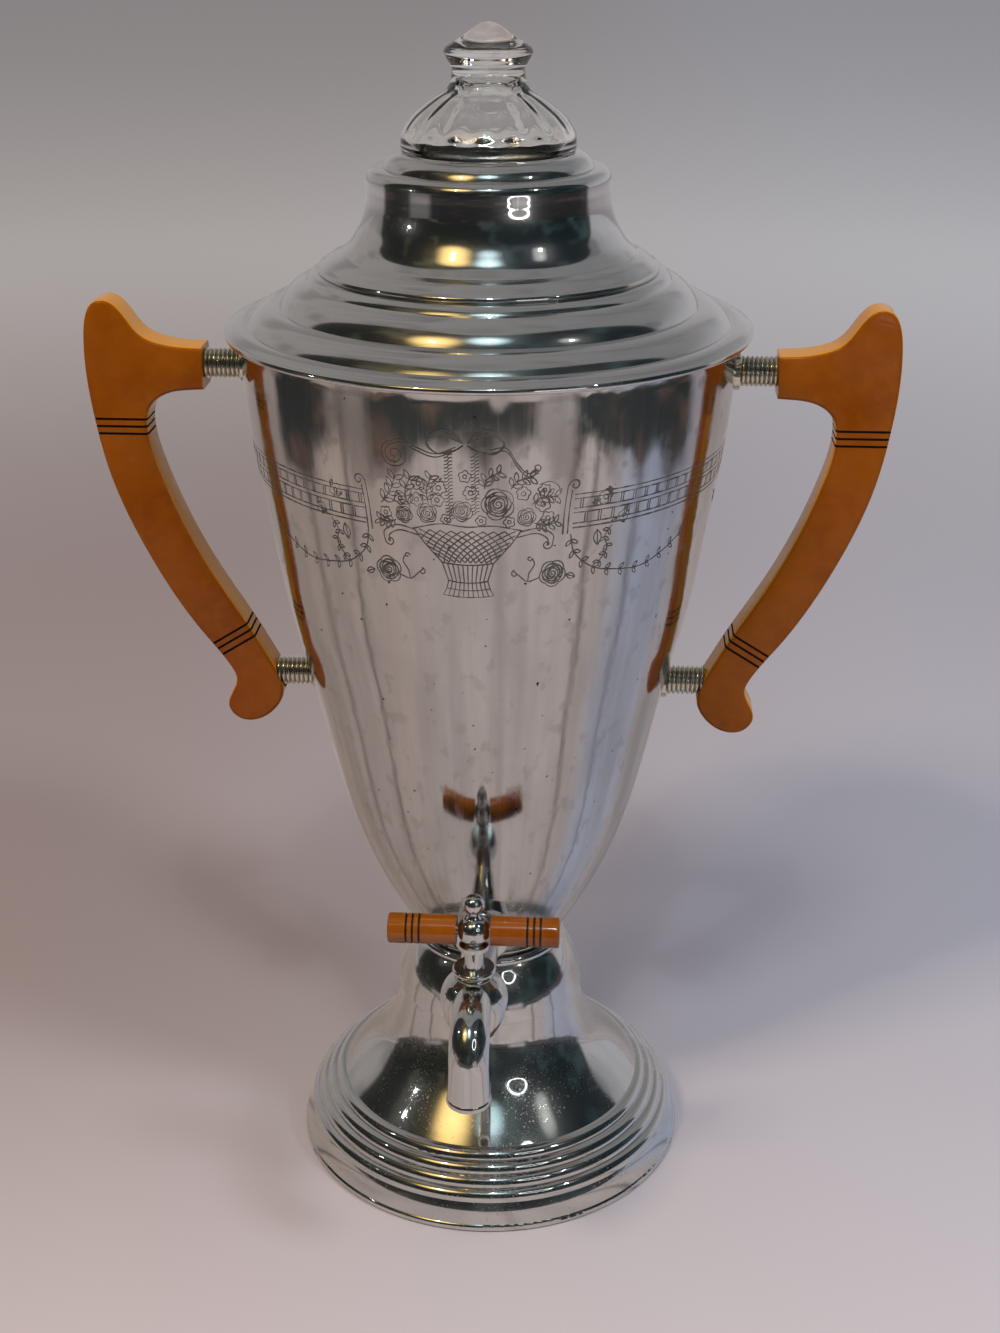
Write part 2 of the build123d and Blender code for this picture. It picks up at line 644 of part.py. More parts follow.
# Tap body: barrel, spout and shank cast in one
barrel_top = tap_z + BARREL_TOP
barrel = to_axis([
    lifted([(0, -BARREL_DEPTH), (BARREL_BASE_R, -BARREL_DEPTH)], tap_z),
    lifted(bulged((BARREL_BASE_R, -BARREL_DEPTH), BARREL_BASE_EDGE, -BARREL_BASE_BULGE), tap_z),
    lifted([BARREL_BASE_EDGE, *BARREL_POINTS], tap_z),
    lifted([BARREL_POINTS[-1], (BARREL_TOP_R, BARREL_TOP)], tap_z),
])
to_tap = Pos(0, -tap_reach, 0)
elbow_y = -tap_reach - SPOUT_RUN
spout_y = elbow_y - SPOUT_BEND_R
bend_z = tap_z - SPOUT_BEND_R
nozzle_z = tap_z - NOZZLE_DROP
spout_path = Wire([
    Edge.make_line((0, -tap_reach, tap_z), (0, elbow_y, tap_z)),
    Edge.make_three_point_arc((0, elbow_y, tap_z),
                              (0, elbow_y - SPOUT_BEND_R * math.sin(math.pi / 4),
                               bend_z + SPOUT_BEND_R * math.cos(math.pi / 4)),
                              (0, spout_y, bend_z)),
    Edge.make_line((0, spout_y, bend_z), (0, spout_y, nozzle_z)),
])


def swept(radius):
    """A round bar along the spout's path."""
    start = Plane(origin=(0, -tap_reach, tap_z), z_dir=(0, -1, 0))
    return sweep(start * Circle(radius), path=spout_path)


lip_top = nozzle_z + NOZZLE_LIP_H
nozzle = to_axis([
    [(0, nozzle_z), (NOZZLE_R, nozzle_z)],
    [(NOZZLE_R, nozzle_z), (NOZZLE_LIP_R, nozzle_z + NOZZLE_LIP_H / 2), (NOZZLE_R, lip_top)],
    [(NOZZLE_R, lip_top), (SPOUT_R, lip_top + NOZZLE_FLARE_H)],
])
shank = along_y(rod(SHANK_R, 0, TAP_OUT + BLANK_IN), -tap_reach, tap_z)
gasket_face_y = wall_y - GASKET_IN
thread_end_y = gasket_face_y - LOCK_NUT_T - THREAD_PAST
thread = along_y(rod(THREAD_R, 0, tap_reach - thread_end_y), -tap_reach, tap_z)
shank = (shank - body_filled) + thread
plug_floor = tap_z - PLUG_FLOOR
plug_seat = to_axis([
    [(0, plug_floor), (PLUG_TOP_R - PLUG_TAPER, plug_floor)],
    [(PLUG_TOP_R - PLUG_TAPER, plug_floor), (PLUG_TOP_R, tap_z + PLUG_TOP)],
    [(PLUG_TOP_R, tap_z + PLUG_TOP), (PLUG_TOP_R, barrel_top + CUT_OVER)],
])
inlet_bore = along_y(rod(PORT_R, 0, tap_reach), -tap_reach, tap_z)
tap_body = (to_tap * barrel) + swept(SPOUT_R) + Pos(0, spout_y, 0) * nozzle + shank
tap_body = tap_body - to_tap * plug_seat - swept(SPOUT_BORE_R) - inlet_bore

# Tap saddle, gasket and lock nut on the body's wall
saddle_face_y = wall_y + SADDLE_OUT
saddle_blank = tube(SADDLE_R, SHANK_R, 0, saddle_face_y)
saddle_rims = saddle_blank.edges().filter_by(GeomType.CIRCLE).sort_by(Axis.Z)[:2]
saddle_blank = fillet(saddle_rims.sort_by(SortBy.RADIUS)[-1:], SADDLE_ROUND)
tap_saddle = along_y(saddle_blank, -saddle_face_y, tap_z) - body_filled
gasket_blank = tube(GASKET_R, THREAD_R, 0, tap_reach - gasket_face_y)
tap_gasket = along_y(gasket_blank, -tap_reach, tap_z) & body_cavity
tap_lock_nut = along_y(hex_nut(LOCK_NUT_FLAT, LOCK_NUT_T, THREAD_R), -gasket_face_y, tap_z)

# Tap plug with its stem, and the packing and bonnet that hold it down
plug_low = plug_floor + SEAT_GAP
plug_top = tap_z + PLUG_TOP - SEAT_GAP
key_z = tap_z + KEY_RISE
stem_top = key_z - KEY_ROD_R - SEAT_GAP
tap_plug = to_axis([
    [(0, plug_low), (PLUG_TOP_R - PLUG_TAPER - TURN_GAP, plug_low)],
    [(PLUG_TOP_R - PLUG_TAPER - TURN_GAP, plug_low), (PLUG_TOP_R - TURN_GAP, plug_top)],
    [(PLUG_TOP_R - TURN_GAP, plug_top), (STEM_R, plug_top)],
    [(STEM_R, plug_top), (STEM_R, stem_top)],
])
tap_plug -= Pos(0, 0, tap_z) * Rot(0, 90, 0) * Cylinder(PORT_R, 4 * PLUG_TOP_R)
tap_plug = to_tap * tap_plug
packing_low = barrel_top - PACKING_H
tap_packing = to_tap * tube(PLUG_TOP_R, STEM_R + TURN_GAP, packing_low, barrel_top)
bonnet_top = barrel_top + BONNET_H
tap_bonnet = to_tap * spun([
    [(STEM_R + TURN_GAP, barrel_top), (BONNET_R, barrel_top)],
    bulged((BONNET_R, barrel_top), (BONNET_NECK_R, bonnet_top), -BONNET_BULGE),
    [(BONNET_NECK_R, bonnet_top), (STEM_R + TURN_GAP, bonnet_top)],
])

# Tap key: disc, hub, finial and the cross bar in two halves on one rod
disc_low = bonnet_top + DISC_GAP
disc_top = disc_low + DISC_H
disc_edge_r = DISC_R - DISC_ROUND
tap_disc = to_tap * spun([
    [(STEM_R, disc_low), (disc_edge_r, disc_low)],
    bulged((disc_edge_r, disc_low), (disc_edge_r, disc_top), -DISC_ROUND),
    [(disc_edge_r, disc_top), (STEM_R, disc_top)],
])
hub_collar_z = key_z - HUB_R - HUB_COLLAR_DROP
hub_foot = (HUB_COLLAR_R, hub_collar_z + HUB_COLLAR_H)
hub_top = key_z + HUB_TOP
hub_top_r = math.sqrt(HUB_R ** 2 - HUB_TOP ** 2)
ball_start = (math.sqrt(HUB_R ** 2 - HUB_BALL_DROP ** 2), key_z - HUB_BALL_DROP)
tap_hub = spun([
    [(STEM_R, disc_top), (HUB_NECK_R, disc_top)],
    bulged((HUB_NECK_R, disc_top), (HUB_NECK_TOP_R, hub_collar_z), HUB_NECK_HOLLOW),
    [(HUB_NECK_TOP_R, hub_collar_z), (HUB_COLLAR_R, hub_collar_z)],
    [(HUB_COLLAR_R, hub_collar_z), hub_foot],
    [hub_foot, ball_start],
    [ball_start, (HUB_R, key_z), (hub_top_r, hub_top)],
    [(hub_top_r, hub_top), (0, hub_top)],
    [(0, hub_top), (0, stem_top)],
    [(0, stem_top), (STEM_R, stem_top)],
])
cross_hole = Pos(0, 0, key_z) * Rot(0, 90, 0) * Cylinder(KEY_ROD_R, 4 * HUB_R)
tap_hub = to_tap * (tap_hub - cross_hole)
finial_z = key_z + FINIAL_RISE
finial_foot = (hub_top_r - FINIAL_FOOT_IN, hub_top)
ball_low = finial_z - math.sqrt(FINIAL_R ** 2 - FINIAL_NECK_R ** 2)
tap_finial = to_tap * to_axis([
    [(0, hub_top), finial_foot],
    bulged(finial_foot, (FINIAL_NECK_R, ball_low), FINIAL_HOLLOW),
    [(FINIAL_NECK_R, ball_low), (FINIAL_R, finial_z), (0, finial_z + FINIAL_R)],
])
bar_length = KEY_SPAN / 2 - KEY_BAR_START
bar_blank = rod(KEY_BAR_R, 0, bar_length)
bar_blank = fillet(bar_blank.edges().filter_by(GeomType.CIRCLE).sort_by(Axis.Z)[-1:], KEY_BAR_ROUND)
bar_blank = bar_blank - rod(KEY_ROD_R, -CUT_OVER, KEY_ROD_HALF - KEY_BAR_START)
for reach in KEY_LINES:
    low = reach - KEY_BAR_START - KEY_LINE_W / 2
    bar_blank = bar_blank - tube(2 * KEY_BAR_R, KEY_BAR_R - KEY_LINE_DEPTH, low, low + KEY_LINE_W)
bar_placed = along_x(bar_blank, KEY_BAR_START, key_z) - Pos(0, 0, key_z) * Sphere(HUB_R)
tap_bar_right = to_tap * bar_placed
tap_bar_left = mirror(tap_bar_right, about=Plane.YZ)
tap_cross_rod = to_tap * along_x(rod(KEY_ROD_R, 0, 2 * KEY_ROD_HALF), -KEY_ROD_HALF, key_z)

# Heater well, soldered into the body's bottom, and its ring nut under the foot
floor_z = BODY_BASE_Z + BODY_SHEET
well_floor_z = BODY_BASE_Z - WELL_DEPTH
well_low = well_floor_z - WELL_FLOOR_T
heater_well = tube(WELL_FLANGE_R, WELL_R - WELL_SHEET, floor_z, floor_z + WELL_FLANGE_T)
heater_well += rod(WELL_R, well_low, floor_z + WELL_FLANGE_T / 2)
heater_well -= rod(WELL_R - WELL_SHEET, well_floor_z, floor_z + 2 * WELL_FLANGE_T)
ring_nut_top = FOOT_H - FOOT_SHEET
well_ring_nut = tube(RING_NUT_R, WELL_R, ring_nut_top - RING_NUT_H, ring_nut_top)
for turn in range(4):
    notch = Pos(RING_NUT_R, 0, ring_nut_top - RING_NUT_H) * Box(*[RING_NUT_NOTCH] * 3)
    well_ring_nut -= Rot(0, 0, 45 + 90 * turn) * notch

# Heating element, clamp plate, stud and nuts
element_low = well_low - ELEMENT_T
plate_low = element_low - PLATE_T
heating_element = tube(ELEMENT_R, STUD_R + BOLT_GAP, element_low, well_low)
element_clamp_plate = tube(PLATE_R, STUD_R + BOLT_GAP, plate_low, element_low)
centre_stud = rod(STUD_R, STUD_END_Z, well_low)
clamp_nut = Pos(0, 0, plate_low - NUT_T) * hex_nut(NUT_FLAT, NUT_T, STUD_R)
base_chain = [
    [(STUD_R + BOLT_GAP, FOOT_SHEET + BASE_RISE), (BASE_CROWN_R, FOOT_SHEET + BASE_RISE)],
    [(BASE_CROWN_R, FOOT_SHEET + BASE_RISE), (BASE_RIM_R, FOOT_SHEET)],
    [(BASE_RIM_R, FOOT_SHEET), (FOOT_R - BASE_PLATE_GAP, FOOT_SHEET)],
]
base_plate = pressed(base_chain, FOOT_SHEET)
base_nut = Pos(0, 0, FOOT_SHEET + BASE_RISE - NUT_T) * hex_nut(NUT_FLAT, NUT_T, STUD_R)

# Appliance inlet at the back of the foot
tunnel_bore = SlotOverall(INLET_W - 2 * INLET_SHEET, INLET_H - 2 * INLET_SHEET)
inlet_tunnel = along_y(extrude(inlet_outline - tunnel_bore, INLET_OUT_Y - INLET_IN_Y), INLET_IN_Y, INLET_Z)
inlet_block = along_y(extrude(tunnel_bore, BLOCK_OUT_Y - BLOCK_IN_Y), BLOCK_IN_Y, INLET_Z)
inlet_pins = []
terminal_nuts = []
lead_wires = []
pin_start_y = BLOCK_OUT_Y + SEAT_GAP
element_y = math.sqrt(ELEMENT_R ** 2 - (PIN_SPACING / 2 - WIRE_R) ** 2)
wire_z = well_low - ELEMENT_T / 2
wire_route = [
    (0, PIN_TAIL_Y, INLET_Z),
    (0, WIRE_BEND_Y, INLET_Z),
    (0, WIRE_BEND_Y, wire_z),
    (0, element_y + SEAT_GAP, wire_z),
]
wire_path = FilletPolyline(*wire_route, radius=WIRE_BEND_R)
wire = sweep(Plane(origin=wire_route[0], z_dir=(0, -1, 0)) * Circle(WIRE_R), path=wire_path)
for side in (-1, 1):
    shift = Pos(side * PIN_SPACING / 2, 0, 0)
    pin = rod(PIN_R, pin_start_y, PIN_TIP_Y)
    pin = fillet(pin.edges().filter_by(GeomType.CIRCLE).sort_by(Axis.Z)[-1:], PIN_ROUND)
    pin += rod(PIN_SHANK_R, PIN_TAIL_Y, pin_start_y)
    inlet_pins.append(shift * along_y(pin, 0, INLET_Z))
    inlet_block -= shift * along_y(rod(PIN_SHANK_R, 0, INLET_OUT_Y), 0, INLET_Z)
    nut = hex_nut(PIN_NUT_FLAT, PIN_NUT_T, PIN_SHANK_R)
    terminal_nuts.append(shift * along_y(nut, BLOCK_IN_Y - PIN_NUT_T, INLET_Z))
    lead_wires.append(shift * wire)

# Pump foot with its valve cage, the valve disc, and the tube with its basket stop
foot_low = well_floor_z + SEAT_GAP
valve_floor = foot_low + VALVE_FLOOR_H
cage_top = valve_floor + PUMP_SHEET + VALVE_T + VALVE_TRAVEL + 2 * SEAT_GAP
pump_foot = tube(PUMP_FOOT_R, PUMP_FOOT_R - PUMP_SHEET, foot_low, foot_low + PUMP_FOOT_H)
pump_foot += tube(PUMP_FOOT_R, TUBE_R, foot_low + PUMP_FOOT_H - PUMP_SHEET, foot_low + PUMP_FOOT_H)
pump_foot += tube(VALVE_CAGE_R, VALVE_CAGE_R - PUMP_SHEET / 2, valve_floor, foot_low + PUMP_FOOT_H)
pump_foot += tube(VALVE_CAGE_R, VALVE_HOLE_R, valve_floor, valve_floor + PUMP_SHEET)
for turn in range(4):
    gate = Pos(PUMP_FOOT_R, 0, foot_low) * Box(4 * PUMP_SHEET, GATE_W, 2 * GATE_H)
    pump_foot -= Rot(0, 0, 45 + 90 * turn) * gate
disc_z = valve_floor + PUMP_SHEET + SEAT_GAP / 2
valve_disc = rod(VALVE_R, disc_z, disc_z + VALVE_T)
basket_top = skirt_low - BASKET_DROP
basket_z = basket_top - BASKET_H
pump_tube = tube(TUBE_R, TUBE_BORE_R, cage_top, basket_top + TUBE_ABOVE_BASKET)
basket_stop = tube(STOP_R, TUBE_R, basket_z - SEAT_GAP - STOP_H, basket_z - SEAT_GAP)


def drill(plate, middle):
    """Rings of small round holes through a plate at the height middle."""
    for ring_r, count in zip(HOLE_RING_RADII, HOLE_RING_COUNTS):
        hole = Pos(ring_r, 0, middle) * Cylinder(HOLE_R, 4 * BASKET_SHEET)
        plate = plate - [Rot(0, 0, 360 * i / count) * hole for i in range(count)]
    return plate


# Coffee basket and the spreader plate that covers it
basket_chain = [
    [(TUBE_R + SLEEVE_GAP, basket_z), (BASKET_R - BASKET_CORNER, basket_z)],
    [(BASKET_R - BASKET_CORNER, basket_z), (BASKET_R, basket_z + BASKET_CORNER)],
    [(BASKET_R, basket_z + BASKET_CORNER), (BASKET_R, basket_top - BASKET_SHEET)],
    [(BASKET_R, basket_top - BASKET_SHEET), (BASKET_RIM_R, basket_top - BASKET_SHEET)],
]
coffee_basket = pressed(basket_chain, BASKET_SHEET)
coffee_basket += tube(SLEEVE_R, TUBE_R + SLEEVE_GAP, basket_z, basket_z + SLEEVE_H)
coffee_basket = drill(coffee_basket, basket_z)
spreader_z = basket_top + SEAT_GAP
spreader_chain = [
    [(TUBE_R + SLEEVE_GAP, spreader_z + SPREADER_RISE), (SPREADER_CROWN_R, spreader_z + SPREADER_RISE)],
    [(SPREADER_CROWN_R, spreader_z + SPREADER_RISE), (SPREADER_CROWN_R + SPREADER_RISE, spreader_z)],
    [(SPREADER_CROWN_R + SPREADER_RISE, spreader_z), (SPREADER_R - SPREADER_RIM, spreader_z)],
    [(SPREADER_R - SPREADER_RIM, spreader_z), (SPREADER_R, spreader_z + SPREADER_RIM)],
]
spreader_plate = drill(pressed(spreader_chain, BASKET_SHEET), spreader_z)

pieces = {
    "pedestal": pedestal,
    "junction_collar": junction_collar,
    "body_shell": body_shell,
    "shoulder_cover": shoulder_cover,
    "lid_shell": lid_shell,
    "lid_skirt": lid_skirt,
    "glass_collar": glass_collar,
    "glass_top": glass_top,
    "handle_left": handle_left,
    "handle_right": handle_right,
    "handle_ferrules": handle_ferrules,
    "handle_screws": handle_screws,
    "handle_washers": handle_washers,
    "tap_body": tap_body,
    "tap_saddle": tap_saddle,
    "tap_gasket": tap_gasket,
    "tap_lock_nut": tap_lock_nut,
    "tap_plug": tap_plug,
    "tap_packing": tap_packing,
    "tap_bonnet": tap_bonnet,
    "tap_disc": tap_disc,
    "tap_hub": tap_hub,
    "tap_finial": tap_finial,
    "tap_bar_left": tap_bar_left,
    "tap_bar_right": tap_bar_right,
    "tap_cross_rod": tap_cross_rod,
    "heater_well": heater_well,
    "well_ring_nut": well_ring_nut,
    "heating_element": heating_element,
    "element_clamp_plate": element_clamp_plate,
    "centre_stud": centre_stud,
    "clamp_nut": clamp_nut,
    "base_plate": base_plate,
    "base_nut": base_nut,
    "inlet_tunnel": inlet_tunnel,
    "inlet_block": inlet_block,
    "inlet_pins": inlet_pins,
    "terminal_nuts": terminal_nuts,
    "lead_wires": lead_wires,
    "pump_foot": pump_foot,
    "valve_disc": valve_disc,
    "pump_tube": pump_tube,
    "basket_stop": basket_stop,
    "coffee_basket": coffee_basket,
    "spreader_plate": spreader_plate,
}

for name, piece in pieces.items():
    solids = piece if isinstance(piece, list) else [piece]
    bodies = [solid for item in solids for solid in item.solids()]
    export_step(Compound(children=bodies), f"parts/{name}.step")
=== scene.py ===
import json
import math

import bmesh
import bpy
import numpy as np
from mathutils import Euler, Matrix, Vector


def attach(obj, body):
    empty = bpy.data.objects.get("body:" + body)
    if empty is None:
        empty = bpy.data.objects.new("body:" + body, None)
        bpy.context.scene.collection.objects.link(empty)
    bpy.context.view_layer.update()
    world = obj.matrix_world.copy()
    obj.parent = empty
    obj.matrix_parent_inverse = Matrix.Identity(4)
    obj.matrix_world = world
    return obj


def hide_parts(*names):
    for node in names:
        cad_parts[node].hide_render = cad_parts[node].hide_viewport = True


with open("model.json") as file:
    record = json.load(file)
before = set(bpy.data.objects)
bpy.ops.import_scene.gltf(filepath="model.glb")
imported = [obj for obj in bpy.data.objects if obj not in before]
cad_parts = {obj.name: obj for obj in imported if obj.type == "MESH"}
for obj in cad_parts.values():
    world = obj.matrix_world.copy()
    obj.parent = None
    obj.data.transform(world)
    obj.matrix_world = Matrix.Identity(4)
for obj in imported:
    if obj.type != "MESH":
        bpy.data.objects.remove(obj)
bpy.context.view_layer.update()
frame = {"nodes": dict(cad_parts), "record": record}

nodes = frame["nodes"]

# Camera: it stands in front of the tap, a little to the right and higher than the lid, and looks down
# at the urn by about 23 degrees.
eye = bpy.data.cameras.new("eye")
eye.sensor_fit = "VERTICAL"
eye.sensor_height = 36
eye.lens = 50.87
camera = bpy.data.objects.new("camera", eye)
camera.location = (0.0403, -0.5856, 0.4344)
camera.rotation_euler = Euler((math.radians(66.751), 0, math.radians(3.6)))
bpy.context.scene.collection.objects.link(camera)
bpy.context.scene.camera = camera


# Pedestal: a foot pressed from sheet brass, with a rolled bead, a plain band, four ribs, a dome and
# a small drum, polished and chromed. Age has left fine scratches and many small water spots.
class Finish:
    """One material, with short calls for the nodes that the urn's finishes are made of."""

    def __init__(self, name, colour, metallic, roughness):
        self.material = bpy.data.materials.new(name)
        self.material.use_nodes = True
        self.nodes = self.material.node_tree.nodes
        self.links = self.material.node_tree.links
        self.surface = self.nodes["Principled BSDF"]
        self.surface.inputs["Base Color"].default_value = (*colour, 1)
        self.surface.inputs["Metallic"].default_value = metallic
        self.surface.inputs["Roughness"].default_value = roughness
        self.place = self.nodes.new("ShaderNodeTexCoord").outputs["Object"]

    def put(self, node, name, value):
        """Sets an input to a number or colour, or links it to another node's output."""
        if isinstance(value, bpy.types.NodeSocket):
            self.links.new(value, node.inputs[name])
        elif isinstance(value, tuple):
            node.inputs[name].default_value = (*value, 1)
        else:
            node.inputs[name].default_value = value

    def sum(self, operation, a, b=0.0, c=0.0):
        """One sum on numbers or outputs."""
        node = self.nodes.new("ShaderNodeMath")
        node.operation = operation
        for index, value in enumerate((a, b, c)):
            self.put(node, index, value)
        return node.outputs[0]

    def noise(self, scale, detail=3.0, stretch=(1, 1, 1), where=None):
        """Soft noise from 0 to 1, with its pattern squeezed along each axis by stretch."""
        mapping = self.nodes.new("ShaderNodeMapping")
        mapping.inputs["Scale"].default_value = stretch
        self.put(mapping, "Vector", where or self.place)
        node = self.nodes.new("ShaderNodeTexNoise")
        node.inputs["Scale"].default_value = scale
        node.inputs["Detail"].default_value = detail
        self.put(node, "Vector", mapping.outputs[0])
        return node.outputs["Fac"]

    def ease(self, value, low, high, at_low=0.0, at_high=1.0):
        """A smooth step of value between low and high."""
        node = self.nodes.new("ShaderNodeMapRange")
        node.interpolation_type = "SMOOTHSTEP"
        for name, given in zip(("Value", "From Min", "From Max", "To Min", "To Max"),
                               (value, low, high, at_low, at_high)):
            self.put(node, name, given)
        return node.outputs[0]

    def blend(self, share, first, second):
        """A colour between two colours."""
        node = self.nodes.new("ShaderNodeMix")
        node.data_type = "RGBA"
        self.put(node, 0, share)
        self.put(node, 6, first)
        self.put(node, 7, second)
        return node.outputs[2]

    def split(self):
        """The three coordinates of a place on the piece."""
        node = self.nodes.new("ShaderNodeSeparateXYZ")
        self.put(node, 0, self.place)
        return node.outputs

    def join(self, x, y, z=0.0):
        """A vector from three numbers or outputs."""
        node = self.nodes.new("ShaderNodeCombineXYZ")
        for index, value in enumerate((x, y, z)):
            self.put(node, index, value)
        return node.outputs[0]

    def relief(self, *layers):
        """Layers of height, each with its depth in metres, one bump on the next."""
        below = None
        for height, depth in layers:
            node = self.nodes.new("ShaderNodeBump")
            node.inputs["Distance"].default_value = depth
            self.put(node, "Height", height)
            if below:
                self.links.new(below, node.inputs["Normal"])
            below = node.outputs[0]
        self.links.new(below, self.surface.inputs["Normal"])


def chrome(name, spots, haze, tint=(0.55, 0.556, 0.554)):
    """Polished chrome: wiping hairs and haze in the roughness, dull water spots, and a slight waviness."""
    f = Finish(name, tint, 1.0, 0.05)
    hairs = f.sum("MAXIMUM", f.ease(f.noise(900, 2, (1, 1, 0.05)), 0.63, 0.73),
                  f.ease(f.noise(700, 2, (0.07, 0.07, 1)), 0.65, 0.75))
    cloud = f.ease(f.noise(70, 4), 0.42, 0.75)
    speck = f.sum("MULTIPLY", f.ease(f.noise(1300, 2), 0.60, 0.70),
                  f.ease(f.noise(60, 3), 0.50 - 0.14 * spots, 0.66))
    rough = f.sum("MULTIPLY_ADD", cloud, haze, 0.04)
    rough = f.sum("MULTIPLY_ADD", hairs, 0.09, rough)
    f.put(f.surface, "Roughness", f.sum("MULTIPLY_ADD", speck, 0.42 * spots, rough))
    f.put(f.surface, "Base Color", f.blend(f.sum("MULTIPLY", speck, spots), tint, (0.50, 0.46, 0.36)))
    f.surface.inputs["Coat Weight"].default_value = 1.0
    f.surface.inputs["Coat Roughness"].default_value = 0.3
    f.surface.inputs["Coat IOR"].default_value = 2.1
    f.relief((f.noise(38, 2), 0.00006), (f.sum("SUBTRACT", 1.0, hairs), 0.000003))
    return f.material


finished = set()


def show(name, mesh, body, replaced, material):
    """Puts a mesh in the scene as a piece that rides on a body in place of a CAD node."""
    piece = bpy.data.objects.new(name, mesh)
    mesh.materials.clear()
    mesh.materials.append(material)
    bpy.context.scene.collection.objects.link(piece)
    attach(piece, body)
    if replaced:
        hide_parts(replaced)
        finished.add(replaced)
    return piece


SHARP_ANGLE = 28


def smooth_copy(node, body, material, reshape=None):
    """A copy of a node with its loose triangles joined, so that curved faces shade smoothly.

    Edges that turn by more than SHARP_ANGLE degrees stay sharp. reshape moves the points, given as rows."""
    mesh = nodes[node].data.copy()
    work = bmesh.new()
    work.from_mesh(mesh)
    bmesh.ops.remove_doubles(work, verts=work.verts, dist=0.000002)
    work.to_mesh(mesh)
    work.free()
    if reshape:
        points = np.empty(3 * len(mesh.vertices))
        mesh.vertices.foreach_get("co", points)
        mesh.vertices.foreach_set("co", reshape(points.reshape(-1, 3)).ravel())
    piece = show(node + "_finished", mesh, body, node, material)
    if mesh.has_custom_normals:
        with bpy.context.temp_override(object=piece, active_object=piece, selected_objects=[piece]):
            bpy.ops.mesh.customdata_custom_splitnormals_clear()
    mesh.polygons.foreach_set("use_smooth", np.ones(len(mesh.polygons), bool))
    mesh.set_sharp_from_angle(angle=math.radians(SHARP_ANGLE))
    return piece


smooth_copy("pedestal", "urn", chrome("foot_chrome", 1.0, 0.05))

# Collar ring between foot and body, turned from brass and given the same bright chrome as most of the
# pieces that follow. The ring nut under the foot clamps it between the two.
bright_chrome = chrome("bright_chrome", 0.35, 0.03)
smooth_copy("junction_collar", "urn", bright_chrome)

# Body: one tall vessel spun from sheet brass and chromed. Years of wiping have left it a soft
# satin with fine upright lines, some cloudy patches and a few pits.
f = Finish("body_chrome", (0.5, 0.49, 0.48), 1.0, 0.1)
x, y, z = f.split()
around = f.sum("ARCTAN2", x, f.sum("MULTIPLY", y, -1.0))
# The finish is laid on the wall as if it were unrolled at a middling radius, in metres.
MIDDLE_RADIUS = 0.07
unrolled = f.join(f.sum("MULTIPLY", around, MIDDLE_RADIUS), z)
fine_lines = f.noise(1300, 3, (1, 0.02, 1), unrolled)
broad_lines = f.noise(240, 5, (1, 0.07, 1), unrolled)
patches = f.ease(f.noise(45, 5, (1, 0.6, 1), unrolled), 0.35, 0.72)
stains = f.ease(f.noise(150, 6, (1, 0.8, 1), unrolled), 0.56, 0.66)
pits = f.ease(f.noise(420, 1, (1, 1, 1), unrolled), 0.76, 0.78)
rough = f.sum("MULTIPLY_ADD", patches, 0.06, 0.07)
rough = f.sum("MULTIPLY_ADD", stains, 0.08, rough)
f.put(f.surface, "Roughness", f.sum("MULTIPLY_ADD", f.ease(fine_lines, 0.45, 0.75), 0.05, rough))
lined = f.blend(f.ease(broad_lines, 0.35, 0.7), (0.58, 0.57, 0.565), (0.51, 0.50, 0.495))
clouded = f.blend(f.sum("MULTIPLY", patches, 0.6), lined, (0.46, 0.45, 0.445))
clouded = f.blend(f.sum("MULTIPLY", stains, 0.35), clouded, (0.36, 0.35, 0.34))
f.put(f.surface, "Base Color", f.blend(pits, clouded, (0.05, 0.045, 0.04)))
f.relief((f.noise(30, 3, (1, 0.5, 1), unrolled), 0.00022), (f.noise(120, 3, (1, 0.3, 1), unrolled), 0.00003),
         (fine_lines, 0.000004))
smooth_copy("body_shell", "urn", f.material)

# Engraving round the body: a ribboned basket of flowers between two posts, with rails that run on
# round the back and leafy garlands. The real one is cut by hand and frosted; here each line is a thin
# raised strip about half a millimetre wide.
wall = np.empty(3 * len(nodes["body_shell"].data.vertices))
nodes["body_shell"].data.vertices.foreach_get("co", wall)
wall = wall.reshape(-1, 3)
wall_reach = np.hypot(wall[:, 0], wall[:, 1])
# A rough line 0.4 mm inside the outer face parts its points from the inner face's. A curve of radius
# by height is fitted to the outer ones.
near_outside = np.interp(wall[:, 2], (0.210, 0.240, 0.265, 0.288, 0.2975),
                         (0.0664, 0.0715, 0.0755, 0.0778, 0.0781)) - 0.0004
outside = (wall[:, 2] > 0.222) & (wall[:, 2] < 0.296) & (wall_reach > near_outside)
wall_fit = np.polyfit(wall[outside, 2], wall_reach[outside], 4)
# Millimetres of wall for one degree at the bow's height, where the body is 77.5 mm in radius, and the
# turn of the whole pattern in degrees, which is a little to the left. Strokes are in mm.
MM_PER_DEGREE = 1.353
PATTERN_TURN = -1.1
FINE_STROKE, DEEP_STROKE = 0.46, 0.62
SIDES_UNDER, MIDDLE_OVER = 0.00003, 0.00005


def stroke(points, width=FINE_STROKE):
    """One engraved line along points, given in degrees round the body and mm of height.

    Its section is a flat triangle: both sides lie 0.03 mm under the wall and the middle 0.05 mm over it."""
    path = np.asarray(points, float) * (MM_PER_DEGREE, 1)
    along = np.gradient(path, axis=0)
    along /= np.maximum(np.hypot(*along.T), 1e-9)[:, None]
    across = np.stack([-along[:, 1], along[:, 0]], 1) * width / 2
    flat = np.stack([path - across, path, path + across], 1)
    turn = np.radians(flat[..., 0] / MM_PER_DEGREE + PATTERN_TURN)
    height = flat[..., 1] / 1000
    radius = np.polyval(wall_fit, height) + np.array([-SIDES_UNDER, MIDDLE_OVER, -SIDES_UNDER])
    return np.stack([radius * np.sin(turn), -radius * np.cos(turn), height], 2)


